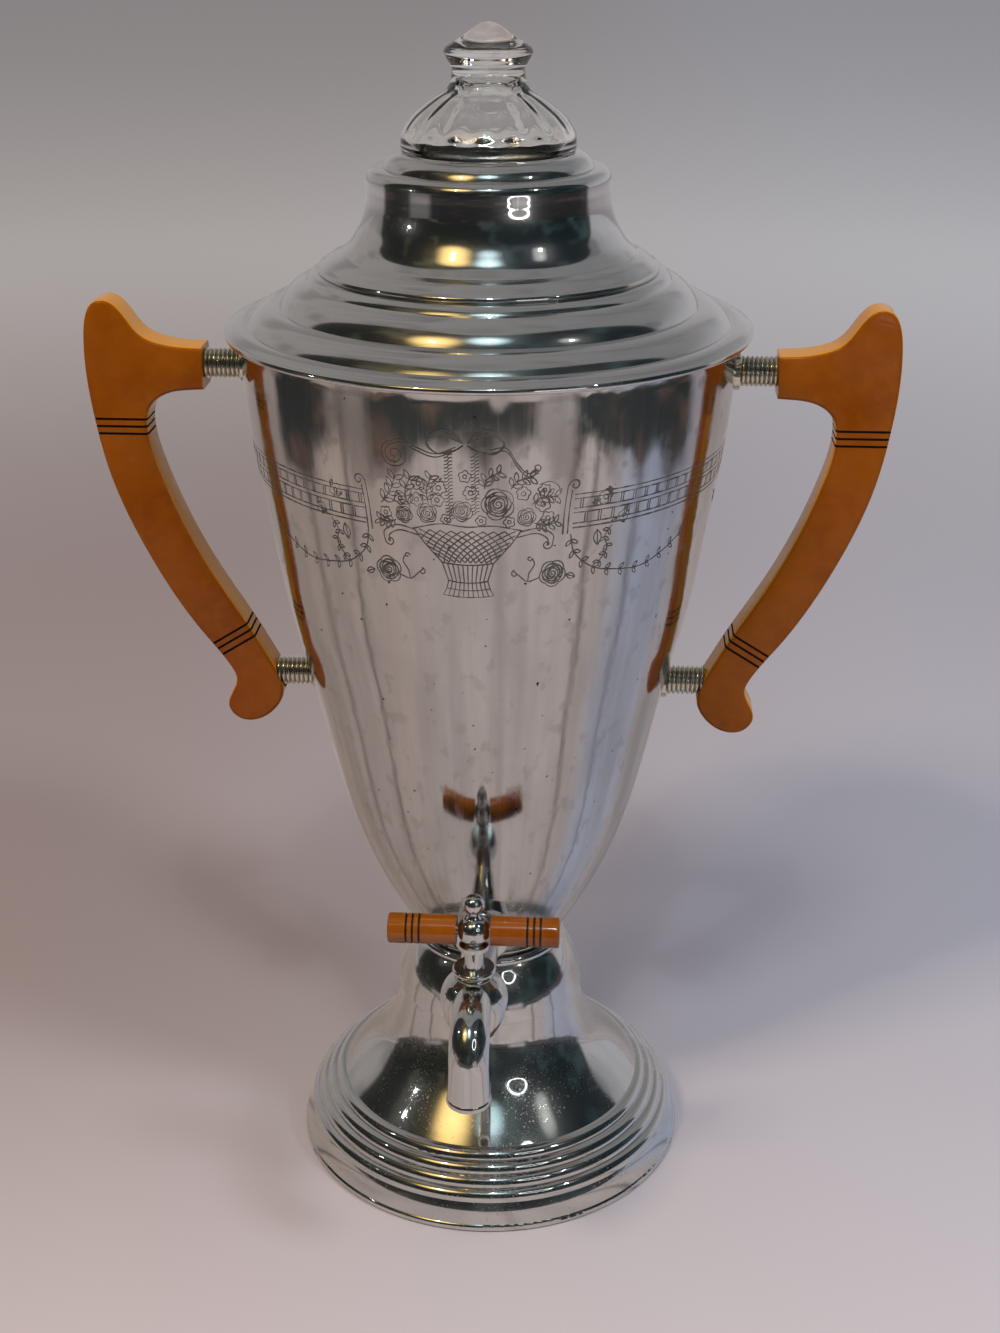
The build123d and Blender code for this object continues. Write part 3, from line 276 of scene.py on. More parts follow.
def grid_faces(rows, columns, start=0, loop=False):
    """Four-sided faces of a grid of points, closed round its columns if loop is set."""
    index = start + np.arange(rows * columns).reshape(rows, columns)
    if loop:
        index = np.hstack([index, index[:, :1]])
    return np.stack([index[:-1, :-1], index[:-1, 1:], index[1:, 1:], index[1:, :-1]], 2).reshape(-1, 4)


def bend(*points, steps=14):
    """A smooth line through points: cubic Hermite spans whose tangents join the neighbours."""
    p = np.asarray(points, float)
    slopes = np.gradient(p, axis=0)
    span = np.linspace(0, len(p) - 1, steps * (len(p) - 1) + 1)[:-1]
    i = span.astype(int)
    t = (span - i)[:, None]
    line = ((2 * t**3 - 3 * t**2 + 1) * p[i] + (t**3 - 2 * t**2 + t) * slopes[i]
            + (3 * t**2 - 2 * t**3) * p[i + 1] + (t**3 - t**2) * slopes[i + 1])
    return np.vstack([line, p[-1:]])


def curl(at, outer, inner, start, turns, steps=22):
    """A spiral round a centre whose radius falls evenly from outer to inner mm."""
    turn = np.radians(start) + np.linspace(0, 2 * math.pi * turns, steps)
    radius = np.linspace(outer, inner, steps)
    return np.stack([at[0] + radius * np.cos(turn) / MM_PER_DEGREE, at[1] + radius * np.sin(turn)], 1)


def leaf(at, length, width, lean):
    """Two curved sides and a midrib: each side stands out by width times the sine of its share."""
    share = np.linspace(0, 1, 9)
    side = width / 2 * np.sin(math.pi * share)
    lean = math.radians(lean)
    lines = []
    for out in (side, -side, 0 * side):
        x = length * share * math.cos(lean) - out * math.sin(lean)
        y = length * share * math.sin(lean) + out * math.cos(lean)
        lines.append(np.stack([at[0] + x / MM_PER_DEGREE, at[1] + y], 1))
    return lines


def flower(at, radius, petals, swing):
    """A ring whose radius swells once for each petal, round a small centre ring. swing is in radians."""
    turn = np.linspace(0, 2 * math.pi, 6 * petals + 1)
    edge = radius * (0.72 + 0.28 * abs(np.cos(petals / 2 * (turn + swing))))
    rings = [edge, np.full_like(turn, 0.3 * radius)]
    return [np.stack([at[0] + r * np.cos(turn) / MM_PER_DEGREE, at[1] + r * np.sin(turn)], 1) for r in rings]


def rose(at, radius, swing):
    """Open petals round a spiral heart: three smaller and smaller rings of arcs. swing is in degrees."""
    lines = [curl(at, 0.42 * radius, 0.08 * radius, 40 + swing, 1.6)]
    for ring, size in enumerate((1.0, 0.78, 0.58)):
        for petal in range(5 - ring):
            start = math.radians(swing + 40 * ring + petal * 360 / (5 - ring))
            turn = start + np.linspace(0, 2 * math.pi / (5 - ring) * 1.12, 9)
            edge = radius * size * (0.86 + 0.16 * np.sin(np.linspace(0, math.pi, 9)))
            lines.append(np.stack([at[0] + edge * np.cos(turn) / MM_PER_DEGREE,
                                   at[1] + edge * np.sin(turn)], 1))
    return lines


def garland(path, size):
    """A stem with pairs of leaves, each pair leaning on from the stem by 50 degrees."""
    lines = [path]
    ahead = np.gradient(path, axis=0) * (MM_PER_DEGREE, 1)
    lean = np.degrees(np.arctan2(ahead[:, 1], ahead[:, 0]))
    for i in range(2, len(path), 4):
        for side in (50, -50):
            lines += leaf(path[i], size, 0.42 * size, lean[i] + side)[:2]
    return lines


def basket_half(height):
    """Half the basket's width in degrees: wide at the rim, drawn in to the waist, then out to the foot."""
    return np.interp(height, (235.2, 237.5, 240.0, 245.8, 249.0, 252.5, 256.5),
                     (6.0, 5.1, 4.6, 5.9, 8.0, 10.2, 12.2))


def basket():
    """A lattice bowl, a ribbed waist and a banded foot."""
    rise = np.linspace(0, 1, 15)
    lines = []
    for side in (-1, 1):
        tall = np.linspace(235.2, 256.5, 30)
        lines.append(np.stack([side * basket_half(tall), tall], 1))
    for start in np.linspace(-1.9, 0.9, 15):
        for side in (-1, 1):
            share = start + rise
            tall = 246.0 + 10.2 * rise
            keep = abs(share) <= 1.0
            if keep.sum() > 2:
                lines.append(np.stack([side * share * basket_half(tall), tall], 1)[keep])
    for tall in (235.2, 237.5, 240.0, 245.9):
        share = np.linspace(-1, 1, 24)
        sag = 0.7 * (share**2 - 1)
        lines.append(np.stack([share * basket_half(tall), tall + sag], 1))
    for share in np.linspace(-0.8, 0.8, 9):
        tall = np.linspace(234.8 - 0.7 * (1 - share**2) + 0.4, 245.4, 9)
        lines.append(np.stack([share * basket_half(tall), tall], 1))
    lines.append(bend((-12.2, 256.3), (-6.0, 258.3), (0.0, 257.6), (6.0, 258.0), (12.0, 256.4)))
    return lines


def rails(start, stop):
    """Three pairs of rails with short ties in twos between them, round the back from post to post."""
    turn = np.linspace(start, stop, 150)
    lines = [np.stack([turn, np.full_like(turn, height)], 1) for height in
             (266.6, 265.2, 262.2, 260.8, 257.4, 256.0)]
    for gap, (low, high) in enumerate(((262.2, 265.2), (257.4, 260.8))):
        for tie in np.arange(start + 1.4 + 1.3 * gap, stop - 1.0, 3.4):
            lines.append([(tie, low), (tie + 0.1, high)])
            lines.append([(tie + 0.6, low), (tie + 0.7, high)])
    return lines


def post(at, outward):
    """A double upright that ends in a curl at the top, bent away from the basket."""
    hook = curl((at + 1.5 * outward, 269.6), 1.9, 0.5, 0 if outward < 0 else 180, outward * -1.15)
    inner = bend((at - 0.7 * outward, 254.2), (at - 0.6 * outward, 262.0), (at - 0.1 * outward, 269.9))
    outer = bend((at + 0.4 * outward, 254.2), (at + 0.5 * outward, 262.0), (at + 0.9 * outward, 268.0))
    return [inner, outer, hook]


def side_bend(side, *points, steps=14):
    """A smooth line through points, turned over to the left of the basket where side is -1."""
    return bend(*[(side * turn, height) for turn, height in points], steps=steps)


deep_cut = rails(24.0, 336.0) + post(-23.2, -1) + post(22.4, 1)
engraved = basket()
for side in (-1, 1):
    engraved.append(side_bend(side, (12.0, 256.0), (16.2, 256.8), (19.4, 254.4), (19.4, 251.2)))
    engraved.append(side_bend(side, (11.2, 254.2), (15.4, 255.2), (18.1, 253.4), (18.2, 251.0)))
    engraved.append(curl((side * 18.2, 251.4), 1.7, 0.4, 0 if side > 0 else 180, -1.1 * side))
    centre = (side * 19.6 + 0.3, 241.7)
    engraved += rose(centre, 4.3, 15 * side)
    engraved += rose(centre, 3.2, 60 + 15 * side)
    engraved.append(side_bend(side, (16.6, 240.6), (13.9, 239.6), (11.8, 241.8), (10.4, 243.4)))
    engraved.append(curl((side * 10.9, 242.3), 1.2, 0.3, 90, 1.0 * side))
    engraved.append(side_bend(side, (14.0, 239.9), (14.3, 242.4), (15.4, 245.0), (14.9, 247.2)))
    engraved.append(curl((side * 14.3, 247.2), 0.9, 0.3, 0, -0.9 * side))
    engraved += leaf((side * 23.2, 240.9), 3.4, 1.8, -160 if side < 0 else -20)
    swag = side_bend(side, (23.6, 254.0), (25.0, 247.6), (30.0, 242.2), (36.5, 240.0), (44.0, 239.0),
                     (51.0, 241.2), (58.0, 245.0), steps=7)
    engraved += garland(swag, 2.6)
    sprig = side_bend(side, (34.0, 255.2), (32.4, 251.6), (33.4, 247.6), (31.6, 243.8), steps=6)
    engraved += garland(sprig, 2.2)
    engraved += leaf((side * 30.2, 254.4), 5.2, 2.6, -82)
    for spot, height, size in ((31.6, 264.6, 2.5), (36.9, 257.6, 2.0)):
        engraved += flower((side * spot, height), size, 5, side)
        engraved += leaf((side * (spot + 1.4), height + 0.8), 2.6, 1.3, 25 * side + 90)
        engraved += leaf((side * (spot - 1.6), height - 0.6), 2.4, 1.2, 200)
    for spot in (100, 150):
        engraved += flower((side * spot, 264.6), 2.5, 5, side)
        back_swag = side_bend(side, (spot - 22, 252.0), (spot - 10, 242.0), (spot, 239.5),
                              (spot + 10, 242.0), (spot + 22, 252.0), steps=8)
        engraved += garland(back_swag, 2.6)

# The bow, its ropes and the flowers in the basket
for side in (-1, 1):
    for lift in (0.0, 0.9, 1.8):
        engraved.append(side_bend(side, (0.4, 283.4), (2.6, 284.6 + lift), (5.4, 286.0 + 0.5 * lift),
                                  (8.2, 283.0 + 0.4 * lift), (6.0, 280.2), (2.4, 281.2), (0.4, 282.8)))
for drop in (0.0, 1.0):
    engraved.append(bend((-2.0, 282.2 - drop), (-6.4, 280.0 - drop), (-10.5, 281.6 - drop),
                         (-14.0, 283.6 - drop), (-17.2, 282.0 - drop)))
    engraved.append(bend((5.0, 281.4 - drop), (8.6, 282.0 - drop), (11.0, 277.2 - drop),
                         (13.2, 274.2 - drop), (15.6, 275.2 - drop)))
engraved.append(curl((-15.4, 279.0), 4.2, 3.4, 110, 0.8))
engraved.append(curl((-15.4, 279.0), 3.2, 0.7, 110, 1.5))
engraved.append(curl((15.2, 275.8), 1.3, 0.4, -90, 1.0))
for rope, top, low in ((-3.7, 281.0, 259.5), (2.0, 280.0, 262.0)):
    for height in np.arange(low, top, 1.05):
        engraved.append(bend((rope - 0.9, height - 0.5), (rope - 0.2, height - 0.3),
                             (rope + 0.2, height + 0.5), (rope + 0.9, height + 0.7), steps=3))
for at, size, turned_on in (((6.9, 264.9), 4.9, 0), ((6.9, 264.9), 3.8, 35), ((-1.0, 262.6), 3.2, 10),
                            ((13.2, 260.6), 2.8, 30), ((-8.8, 261.4), 3.0, 60), ((-14.2, 260.4), 2.6, 20)):
    engraved += rose(at, size, turned_on)
for at, size, petals in (((-6.0, 269.6), 2.4, 5), ((-10.4, 270.6), 2.2, 5), ((-6.4, 265.8), 2.2, 5),
                         ((1.0, 268.4), 2.3, 6), ((16.8, 264.4), 2.4, 5), ((18.0, 260.0), 2.2, 5),
                         ((-0.2, 273.4), 1.9, 5), ((9.4, 259.2), 1.8, 5), ((-18.6, 260.4), 2.0, 5),
                         ((-11.0, 265.6), 2.2, 6), ((3.2, 259.7), 1.7, 5), ((-4.6, 259.9), 1.7, 5),
                         ((12.4, 268.0), 2.2, 5), ((-14.8, 265.4), 2.0, 5), ((17.0, 268.8), 2.0, 6)):
    engraved += flower(at, size, petals, at[0])
for spray, size in ((((-19.4, 263.4), (-17.0, 267.6), (-15.6, 272.6)), 3.4),
                    (((-12.6, 262.8), (-13.6, 267.4), (-12.0, 273.0)), 3.2),
                    (((-8.4, 264.6), (-8.6, 268.8), (-7.4, 273.4)), 2.8),
                    (((4.0, 269.8), (4.6, 272.8), (7.6, 275.0)), 2.8),
                    (((9.6, 269.6), (11.4, 272.2), (14.6, 273.0)), 3.0),
                    (((14.4, 264.6), (17.0, 266.6), (20.2, 266.6)), 3.0),
                    (((15.0, 258.6), (17.6, 257.6), (20.4, 258.6)), 2.6),
                    (((-16.2, 258.4), (-18.4, 257.4), (-20.6, 258.0)), 2.6)):
    engraved += garland(bend(*spray, steps=8), size)
engraved.append(bend((15.8, 270.6), (18.0, 271.4), (20.0, 270.0), (20.6, 267.6)))

strips = [stroke(line) for line in engraved] + [stroke(line, DEEP_STROKE) for line in deep_cut]
starts = np.cumsum([0] + [strip.shape[0] * 3 for strip in strips])
engraving_mesh = bpy.data.meshes.new("body_engraving")
engraving_mesh.from_pydata(
    np.vstack([strip.reshape(-1, 3) for strip in strips]).tolist(), [],
    np.vstack([grid_faces(strip.shape[0], 3, start) for strip, start in zip(strips, starts)]).tolist())
f = Finish("frosted_cut", (0.2, 0.195, 0.19), 1.0, 0.45)
f.put(f.surface, "Roughness", f.ease(f.noise(2500, 2), 0.3, 0.7, 0.38, 0.6))
f.put(f.surface, "Base Color", f.blend(f.noise(400, 3), (0.15, 0.145, 0.14), (0.27, 0.26, 0.25)))
show("body_engraving", engraving_mesh, "urn", None, f.material)


# Shoulder cover: sheet brass, pressed in three steps and chromed. Its neck takes the lid, and its
# rolled rim grips the top of the body.
def turned(name, profile, steps=256, wave=None, place=None):
    """A closed surface of revolution about Z from rows of radius and height in mm.

    wave gives each row's swell in mm and a count: the radius gets swell times the cosine of count
    times the angle. place moves the finished points, given as rows."""
    profile = np.asarray(profile, float) / 1000
    turn = np.linspace(0, 2 * math.pi, steps, endpoint=False)
    radius = np.repeat(profile[:, :1], steps, 1)
    if wave is not None:
        swells, count = wave
        radius = radius + np.asarray(swells)[:, None] / 1000 * np.cos(count * turn)
    height = np.repeat(profile[:, 1:], steps, 1)
    points = np.stack([radius * np.cos(turn), radius * np.sin(turn), height], 2).reshape(-1, 3)
    if place:
        points = place(points)
    mesh = bpy.data.meshes.new(name)
    mesh.from_pydata(points.tolist(), [], grid_faces(len(profile), steps, loop=True).tolist())
    work = bmesh.new()
    work.from_mesh(mesh)
    bmesh.ops.remove_doubles(work, verts=work.verts, dist=0.000001)
    bmesh.ops.dissolve_degenerate(work, edges=work.edges, dist=0.000001)
    bmesh.ops.recalc_face_normals(work, faces=work.faces)
    work.to_mesh(mesh)
    work.free()
    mesh.polygons.foreach_set("use_smooth", np.ones(len(mesh.polygons), bool))
    mesh.set_sharp_from_angle(angle=math.radians(35))
    return mesh


def arc(centre, radius, start, stop, steps=12):
    """Points on a circle's arc between two angles in degrees."""
    turn = np.radians(np.linspace(start, stop, steps))
    return np.stack([centre[0] + radius * np.cos(turn), centre[1] + radius * np.sin(turn)], 1)


def inset(line, depth):
    """A line moved to its left-hand side by depth."""
    along = np.gradient(line, axis=0)
    along /= np.hypot(*along.T)[:, None]
    return line + depth * np.stack([-along[:, 1], along[:, 0]], 1)


def arched(start, stop, rise, steps=16):
    """A shallow arch: the straight line plus a parabola that stands rise to the left at its middle."""
    share = np.linspace(0, 1, steps)[:, None]
    start, way = np.array(start), np.subtract(stop, start)
    leftwards = np.array((-way[1], way[0]))
    return start + share * way + 4 * rise * share * (1 - share) * leftwards / np.hypot(*way)


# The cover's heights count from a level just over the top of the body.
COVER_LIFT = 0.3
RIM_Z = 1000 * max(corner[2] for corner in nodes["body_shell"].bound_box) + COVER_LIFT
cover_outer = np.vstack([
    [(49.2, 6.1), (49.2, 10.0), (49.2, 14.4)],
    arched((49.2, 15.1), (50.6, 16.5), 0.5, 6),
    arched((50.6, 16.5), (56.9, 14.4), 1.3)[1:],
    arched((56.9, 14.4), (65.6, 7.0), 1.2)[1:],
    arched((65.6, 7.0), (75.7, 1.7), 1.4)[1:],
    arched((75.7, 1.7), (81.75, 0.19), 0.55)[1:],
    arc((81.6, -0.95), 1.15, 80, -130, 22),
])
cover_inner = [(80.6, -0.4), (75.2, 0.9), (71.0, 4.4), (65.0, 6.2), (61.6, 11.0), (56.5, 13.6), (53.0, 15.4),
               (50.9, 15.6), (50.0, 14.8), (50.0, 6.1), (49.2, 6.1)]
cover_loop = np.vstack([cover_outer, cover_inner]) + (0, RIM_Z)
show("shoulder_finished", turned("shoulder_finished", cover_loop), "urn", "shoulder_cover",
     bright_chrome)

# Lid: a rolled flange, a flared wall and a flat top with a hole for the glass, pressed in one piece
# from sheet brass and chromed. A skirt below drops into the neck and keeps the lid in place.
LID_SEAT = 317.1
LID_SHEET = 0.6
lid_flange = arc((51.9, 1.1), 1.1, -88, 78)
lid_hole = [(33.0, 31.25), (27.8, 31.3)]
lid_outer = np.vstack([
    lid_flange,
    bend((51.9, 2.25), (49.0, 4.35), (46.0, 5.75), steps=8)[1:],
    bend((45.5, 6.2), (43.2, 8.4), (41.3, 11.2), (39.3, 14.9), (38.0, 19.6), (37.65, 24.0), (37.6, 26.6)),
    arc((34.2, 27.7), 3.4, 2, 84, 14),
    lid_hole,
])
lid_inner = inset(lid_outer[len(lid_flange):-len(lid_hole)], LID_SHEET)[::-1]
lid_loop = np.vstack([lid_outer, [(27.8, 30.6), (32.8, 30.6)], lid_inner, lid_outer[:1]]) + (0, LID_SEAT)
show("lid_finished", turned("lid_finished", lid_loop), "lid", "lid_shell", bright_chrome)
smooth_copy("lid_skirt", "lid", bright_chrome)

# Ring collar: a low ring turned from brass, chromed and fixed on the lid round its hole. Two slots in
# it let the glass's lugs in, and a quarter turn locks them.
smooth_copy("glass_collar", "lid", bright_chrome)

# Percolator top: clear pressed glass with a pointed knob, a thick wall and shallow flutes inside. Its
# neck stands in the ring collar.
f = Finish("clear_glass", (0.97, 0.975, 0.955), 0.0, 0.01)
f.surface.inputs["Transmission Weight"].default_value = 1.0
f.surface.inputs["IOR"].default_value = 1.5
f.put(f.surface, "Roughness", f.ease(f.noise(160, 3), 0.45, 0.8, 0.0, 0.04))
f.relief((f.noise(90, 2), 0.00006))
GLASS_SEAT = 352.65
FLUTES = 16
FLUTE_DEPTH = 0.22
glass_outside = np.vstack([
    [(24.6, -9.2), (24.6, -4.0), (24.6, -0.2), (24.8, 0.0), (26.3, 0.0)],
    bend((26.6, 0.4), (26.8, 1.4), (26.7, 3.6), (26.0, 6.2), (23.3, 10.1), (19.9, 13.1), (16.6, 15.6),
         (13.6, 17.4), (11.9, 19.4), (11.1, 22.2), (11.4, 24.6), (12.6, 26.6), (13.4, 28.4), (13.1, 29.8),
         (11.8, 30.8), (9.0, 32.4), (5.6, 34.7), (2.6, 36.6), (0.0, 37.3), steps=6),
])
glass_inside = bend((22.1, -9.2), (22.2, -3.0), (24.0, 2.4), (23.7, 5.0), (21.2, 8.6), (17.4, 11.9),
                    (13.2, 14.8), (10.0, 17.0), (8.0, 19.0), (6.4, 20.9), (3.6, 22.2), (0.0, 22.4), steps=6)
flutes = np.interp(glass_inside[:, 1], (3.0, 8.0, 14.0, 18.5), (0.0, FLUTE_DEPTH, FLUTE_DEPTH, 0.0))
glass_loop = np.vstack([glass_inside[::-1], glass_outside]) + (0, GLASS_SEAT)
glass_wave = np.concatenate([flutes[::-1], np.zeros(len(glass_outside))])
glass_mesh = turned("glass_finished", glass_loop, wave=(glass_wave, FLUTES))
show("glass_finished", glass_mesh, "glass", "glass_top", f.material)


# Handles: S-shaped slabs of cast phenolic resin, polished, each with three cut lines near each end
# that old polish has filled dark.
def resin(name, cuts, gloss, lit_side_tone):
    """Butterscotch resin with soft mottling, and a lighter tone on the narrow sides that is painted light.

    cuts gives each line's place, its slant in degrees in the XZ plane, half its width and its reach."""
    f = Finish(name, (0.21, 0.055, 0.002), 0.0, 0.2)
    f.surface.inputs["Specular IOR Level"].default_value = gloss
    x, _, z = f.split()
    x = f.sum("ABSOLUTE", x)
    drift = f.ease(f.noise(28, 4), 0.3, 0.7)
    grain = f.noise(260, 3)
    colour = f.blend(drift, (0.165, 0.036, 0.0005), (0.215, 0.054, 0.001))
    colour = f.blend(f.ease(grain, 0.35, 0.75, 0.0, 0.4), colour, (0.25, 0.068, 0.002))
    # Painted light: faces turned away from front and back are blended to the lighter side tone.
    facing = f.nodes.new("ShaderNodeSeparateXYZ")
    f.put(facing, 0, f.place.node.outputs["Normal"])
    broad = f.ease(f.sum("ABSOLUTE", facing.outputs[1]), 0.45, 0.75)
    colour = f.blend(broad, lit_side_tone, colour)
    filled = 0.0
    for (at_x, at_z), slant, half, reach in cuts:
        sine, cosine = math.sin(math.radians(slant)), math.cos(math.radians(slant))
        over = f.sum("ADD", f.sum("MULTIPLY", f.sum("SUBTRACT", x, at_x), -sine),
                     f.sum("MULTIPLY", f.sum("SUBTRACT", z, at_z), cosine))
        line = f.ease(f.sum("ABSOLUTE", over), half, half * 1.35, 1.0, 0.0)
        near = f.ease(f.sum("ABSOLUTE", f.sum("SUBTRACT", x, at_x)), reach, reach * 1.1, 1.0, 0.0)
        filled = f.sum("MAXIMUM", filled, f.sum("MULTIPLY", line, near))
    f.put(f.surface, "Base Color", f.blend(filled, colour, (0.012, 0.004, 0.001)))
    rough = f.ease(f.noise(80, 4), 0.35, 0.75, 0.14, 0.28)
    f.put(f.surface, "Roughness", f.sum("MULTIPLY_ADD", filled, 0.4, rough))
    f.relief((grain, 0.00001))
    return f.material


# The cut lines are placed from the middle of the upper ferrule's outer end.
NECK_X, UPPER_Z = 0.09103, 0.2857
handle_cuts = [((NECK_X + across / 1000, UPPER_Z + up / 1000), slant, 0.00034, 0.022)
               for across, up, slant in ((27.3, -17.4, 0), (27.2, -19.8, 0), (27.1, -22.2, 0),
                                         (-2.8, -91.9, -32), (-4.3, -93.7, -32), (-5.7, -95.8, -32))]
# The handles' last colour is the lighter tone of their narrow sides, painted light.
handle_resin = resin("handle_resin", handle_cuts, 0.2, (0.50, 0.205, 0.018))
for side in ("left", "right"):
    smooth_copy("handle_" + side, "urn", handle_resin)

# Ferrules: stacks of eight rounded rings on a plain base, turned from brass bar and thinly chromed,
# so that the brass tints them a little. Screws from inside the body hold the handles through them.
ferrule_chrome = chrome("ferrule_chrome", 0.6, 0.04, (0.60, 0.57, 0.46))
ferrule_points = np.empty(3 * len(nodes["handle_ferrules"].data.vertices))
nodes["handle_ferrules"].data.vertices.foreach_get("co", ferrule_points)
ferrule_points = ferrule_points.reshape(-1, 3) * 1000
# In mm: BETWEEN_PAIRS is a height that parts the upper ferrules from the lower ones.
BETWEEN_PAIRS = 240
RINGS, RING_STEPS = 8, 10
GROOVE_RADIUS, RING_SWELL = 4.0, 0.9
BASE_RADIUS, BASE_WIDTH, BASE_EDGE = 6.0, 2.2, 0.4
stacks = []
for upper in (True, False):
    own = ferrule_points[(ferrule_points[:, 2] > BETWEEN_PAIRS) == upper]
    middle = (own[:, 2].min() + own[:, 2].max()) / 2
    inner, outer = abs(own[:, 0]).min(), abs(own[:, 0]).max()
    first = inner + BASE_WIDTH
    along = np.linspace(0, RINGS, RINGS * RING_STEPS + 1)
    swell = np.sqrt(np.maximum(1 - (2 * (along % 1) - 1)**2, 0))
    swell[::RING_STEPS] = 0
    rings = np.stack([GROOVE_RADIUS + RING_SWELL * swell, first + along / RINGS * (outer - first)], 1)
    base = [(0, inner), (BASE_RADIUS, inner), (BASE_RADIUS, first - BASE_EDGE),
            (BASE_RADIUS - BASE_EDGE, first)]
    profile = np.vstack([base, rings, [(0, outer)]])
    for side in (-1, 1):
        stacks.append(turned("stack", profile, 64, place=lambda p: np.stack(
            [side * p[:, 2], p[:, 1], middle / 1000 + p[:, 0]], 1)))
work = bmesh.new()
for stack in stacks:
    work.from_mesh(stack)
    bpy.data.meshes.remove(stack)
ferrule_mesh = bpy.data.meshes.new("ferrules_finished")
work.to_mesh(ferrule_mesh)
work.free()
show("ferrules_finished", ferrule_mesh, "urn", "handle_ferrules", ferrule_chrome)


# Tap: barrel, spout and shank cast in one from brass, with a round saddle on the body's wall and a
# bonnet on top that holds the plug down. All of it is polished and chromed.
SPOUT_LIFT, LIFT_TOP, LIFT_SPAN = 0.0042, 0.093, 0.018


def shorten_spout(points):
    """Draws the spout's end up by SPOUT_LIFT, growing evenly over the 18 mm below LIFT_TOP."""
    points[:, 2] += SPOUT_LIFT * np.clip((LIFT_TOP - points[:, 2]) / LIFT_SPAN, 0, 1)
    return points


smooth_copy("tap_body", "urn", bright_chrome, reshape=shorten_spout)
for node in ("tap_saddle", "tap_bonnet"):
    smooth_copy(node, "urn", bright_chrome)


# Tap key: disc, hub and ball finial turned from brass and chromed, with two resin bar halves on a
# rod through the hub. All of them turn with the plug.
TAP_Y = -0.076


def over_tap(points):
    """Moves turned points from the urn's axis to the tap's."""
    return points + (0, TAP_Y, 0)


for node in ("tap_disc", "tap_hub"):
    smooth_copy(node, "tap_key", bright_chrome)
finial = np.vstack([
    [(0, 129.0), (2.4, 129.0), (1.9, 129.6), (1.55, 130.4)],
    arc((0, 134.0), 3.4, -63, 90, 24),
])
show("finial_finished", turned("finial_finished", finial, 64, place=over_tap), "tap_key",
     "tap_finial", bright_chrome)
BAR_Z = 0.1247
bar_cuts = [((reach / 1000, BAR_Z), 90, 0.0003, 0.0006) for reach in (17.0, 19.1, 21.1)]
# The bar's side tone, painted light, is close to its own colour.
bar_resin = resin("bar_resin", bar_cuts, 0.6, (0.20, 0.052, 0.002))
for side in ("left", "right"):
    smooth_copy("tap_bar_" + side, "tap_key", bar_resin)


# Inner works: steel screws and element, brass well and nuts, aluminium pump and basket, rubber
# gaskets and a ceramic inlet block. Each has the finish of its metal, a little clouded by use.
def bare_metal(name, colour, low, high):
    """Bare metal with a clouded skin and darker patches."""
    f = Finish(name, colour, 1.0, low)
    f.put(f.surface, "Roughness", f.ease(f.noise(120, 4), 0.35, 0.7, low, high))
    darker = tuple(0.6 * part for part in colour)
    f.put(f.surface, "Base Color", f.blend(f.ease(f.noise(60, 4), 0.4, 0.8), colour, darker))
    return f.material


def dull_body(name, colour, roughness):
    """Rubber or ceramic with a faint mottle."""
    f = Finish(name, colour, 0.0, roughness)
    f.put(f.surface, "Base Color", f.blend(f.noise(200, 3), colour, tuple(0.8 * part for part in colour)))
    return f.material


inner_finishes = {
    "plain_steel": bare_metal("plain_steel", (0.45, 0.44, 0.42), 0.25, 0.45),
    "bare_brass": bare_metal("bare_brass", (0.62, 0.45, 0.20), 0.22, 0.4),
    "spun_aluminium": bare_metal("spun_aluminium", (0.72, 0.72, 0.72), 0.28, 0.45),
    "black_rubber": dull_body("black_rubber", (0.02, 0.02, 0.02), 0.6),
    "white_ceramic": dull_body("white_ceramic", (0.75, 0.73, 0.68), 0.35),
    "bright_chrome": bright_chrome,
}
for row in frame["record"]["subparts"]:
    if row["node"] not in finished:
        nodes[row["node"]].data.materials.clear()
        nodes[row["node"]].data.materials.append(inner_finishes[row["material_slot"]])

# Studio floor: pale paper, with painted shade and light: darker in a band behind the urn, warm on the
# left and cool on the right, and brighter far off. Only in the metal's reflections is it dark far off,
# a painted reflection of an unlit room, with two paler gaps in the dark and a few soft streaks of
# painted shade that run out from the urn.
floor_mesh = bpy.data.meshes.new("floor")
floor_mesh.from_pydata([(-40, -40, 0), (40, -40, 0), (40, 40, 0), (-40, 40, 0)], [], [(0, 1, 2, 3)])
floor = bpy.data.objects.new("floor", floor_mesh)
bpy.context.scene.collection.objects.link(floor)
f = Finish("floor_paper", (0.56, 0.49, 0.50), 0.0, 0.9)
f.surface.inputs["Specular IOR Level"].default_value = 0.0
x, y, _ = f.split()
ray = f.nodes.new("ShaderNodeLightPath").outputs
TO_DEGREES = 180 / math.pi
reach = f.sum("SQRT", f.sum("ADD", f.sum("MULTIPLY", x, x), f.sum("MULTIPLY", y, y)))
turn = f.sum("MULTIPLY", f.sum("ARCTAN2", x, f.sum("MULTIPLY", y, -1.0)), TO_DEGREES)
mottle = f.noise(1.0, 4, where=f.join(f.sum("MULTIPLY", turn, 0.055), f.sum("MULTIPLY", reach, 2.6)))
edge = f.sum("MULTIPLY_ADD", f.sum("SUBTRACT", mottle, 0.5), 0.8, reach)
# Painted reflection: far off, the floor turns dark for glossy rays, standing in for an unlit room.
dark = f.ease(edge, 0.56, 0.70)
dark = f.sum("MULTIPLY", dark, f.ease(f.sum("ABSOLUTE", turn), 104, 111, 1.0, 0.0))
for centre, inner_half, outer_half, dark_left in ((33, 6, 12, 0.35), (-62, 7, 14, 0.5)):
    away = f.sum("ABSOLUTE", f.sum("SUBTRACT", turn, centre))
    dark = f.sum("MULTIPLY", dark, f.ease(away, inner_half, outer_half, dark_left, 1.0))
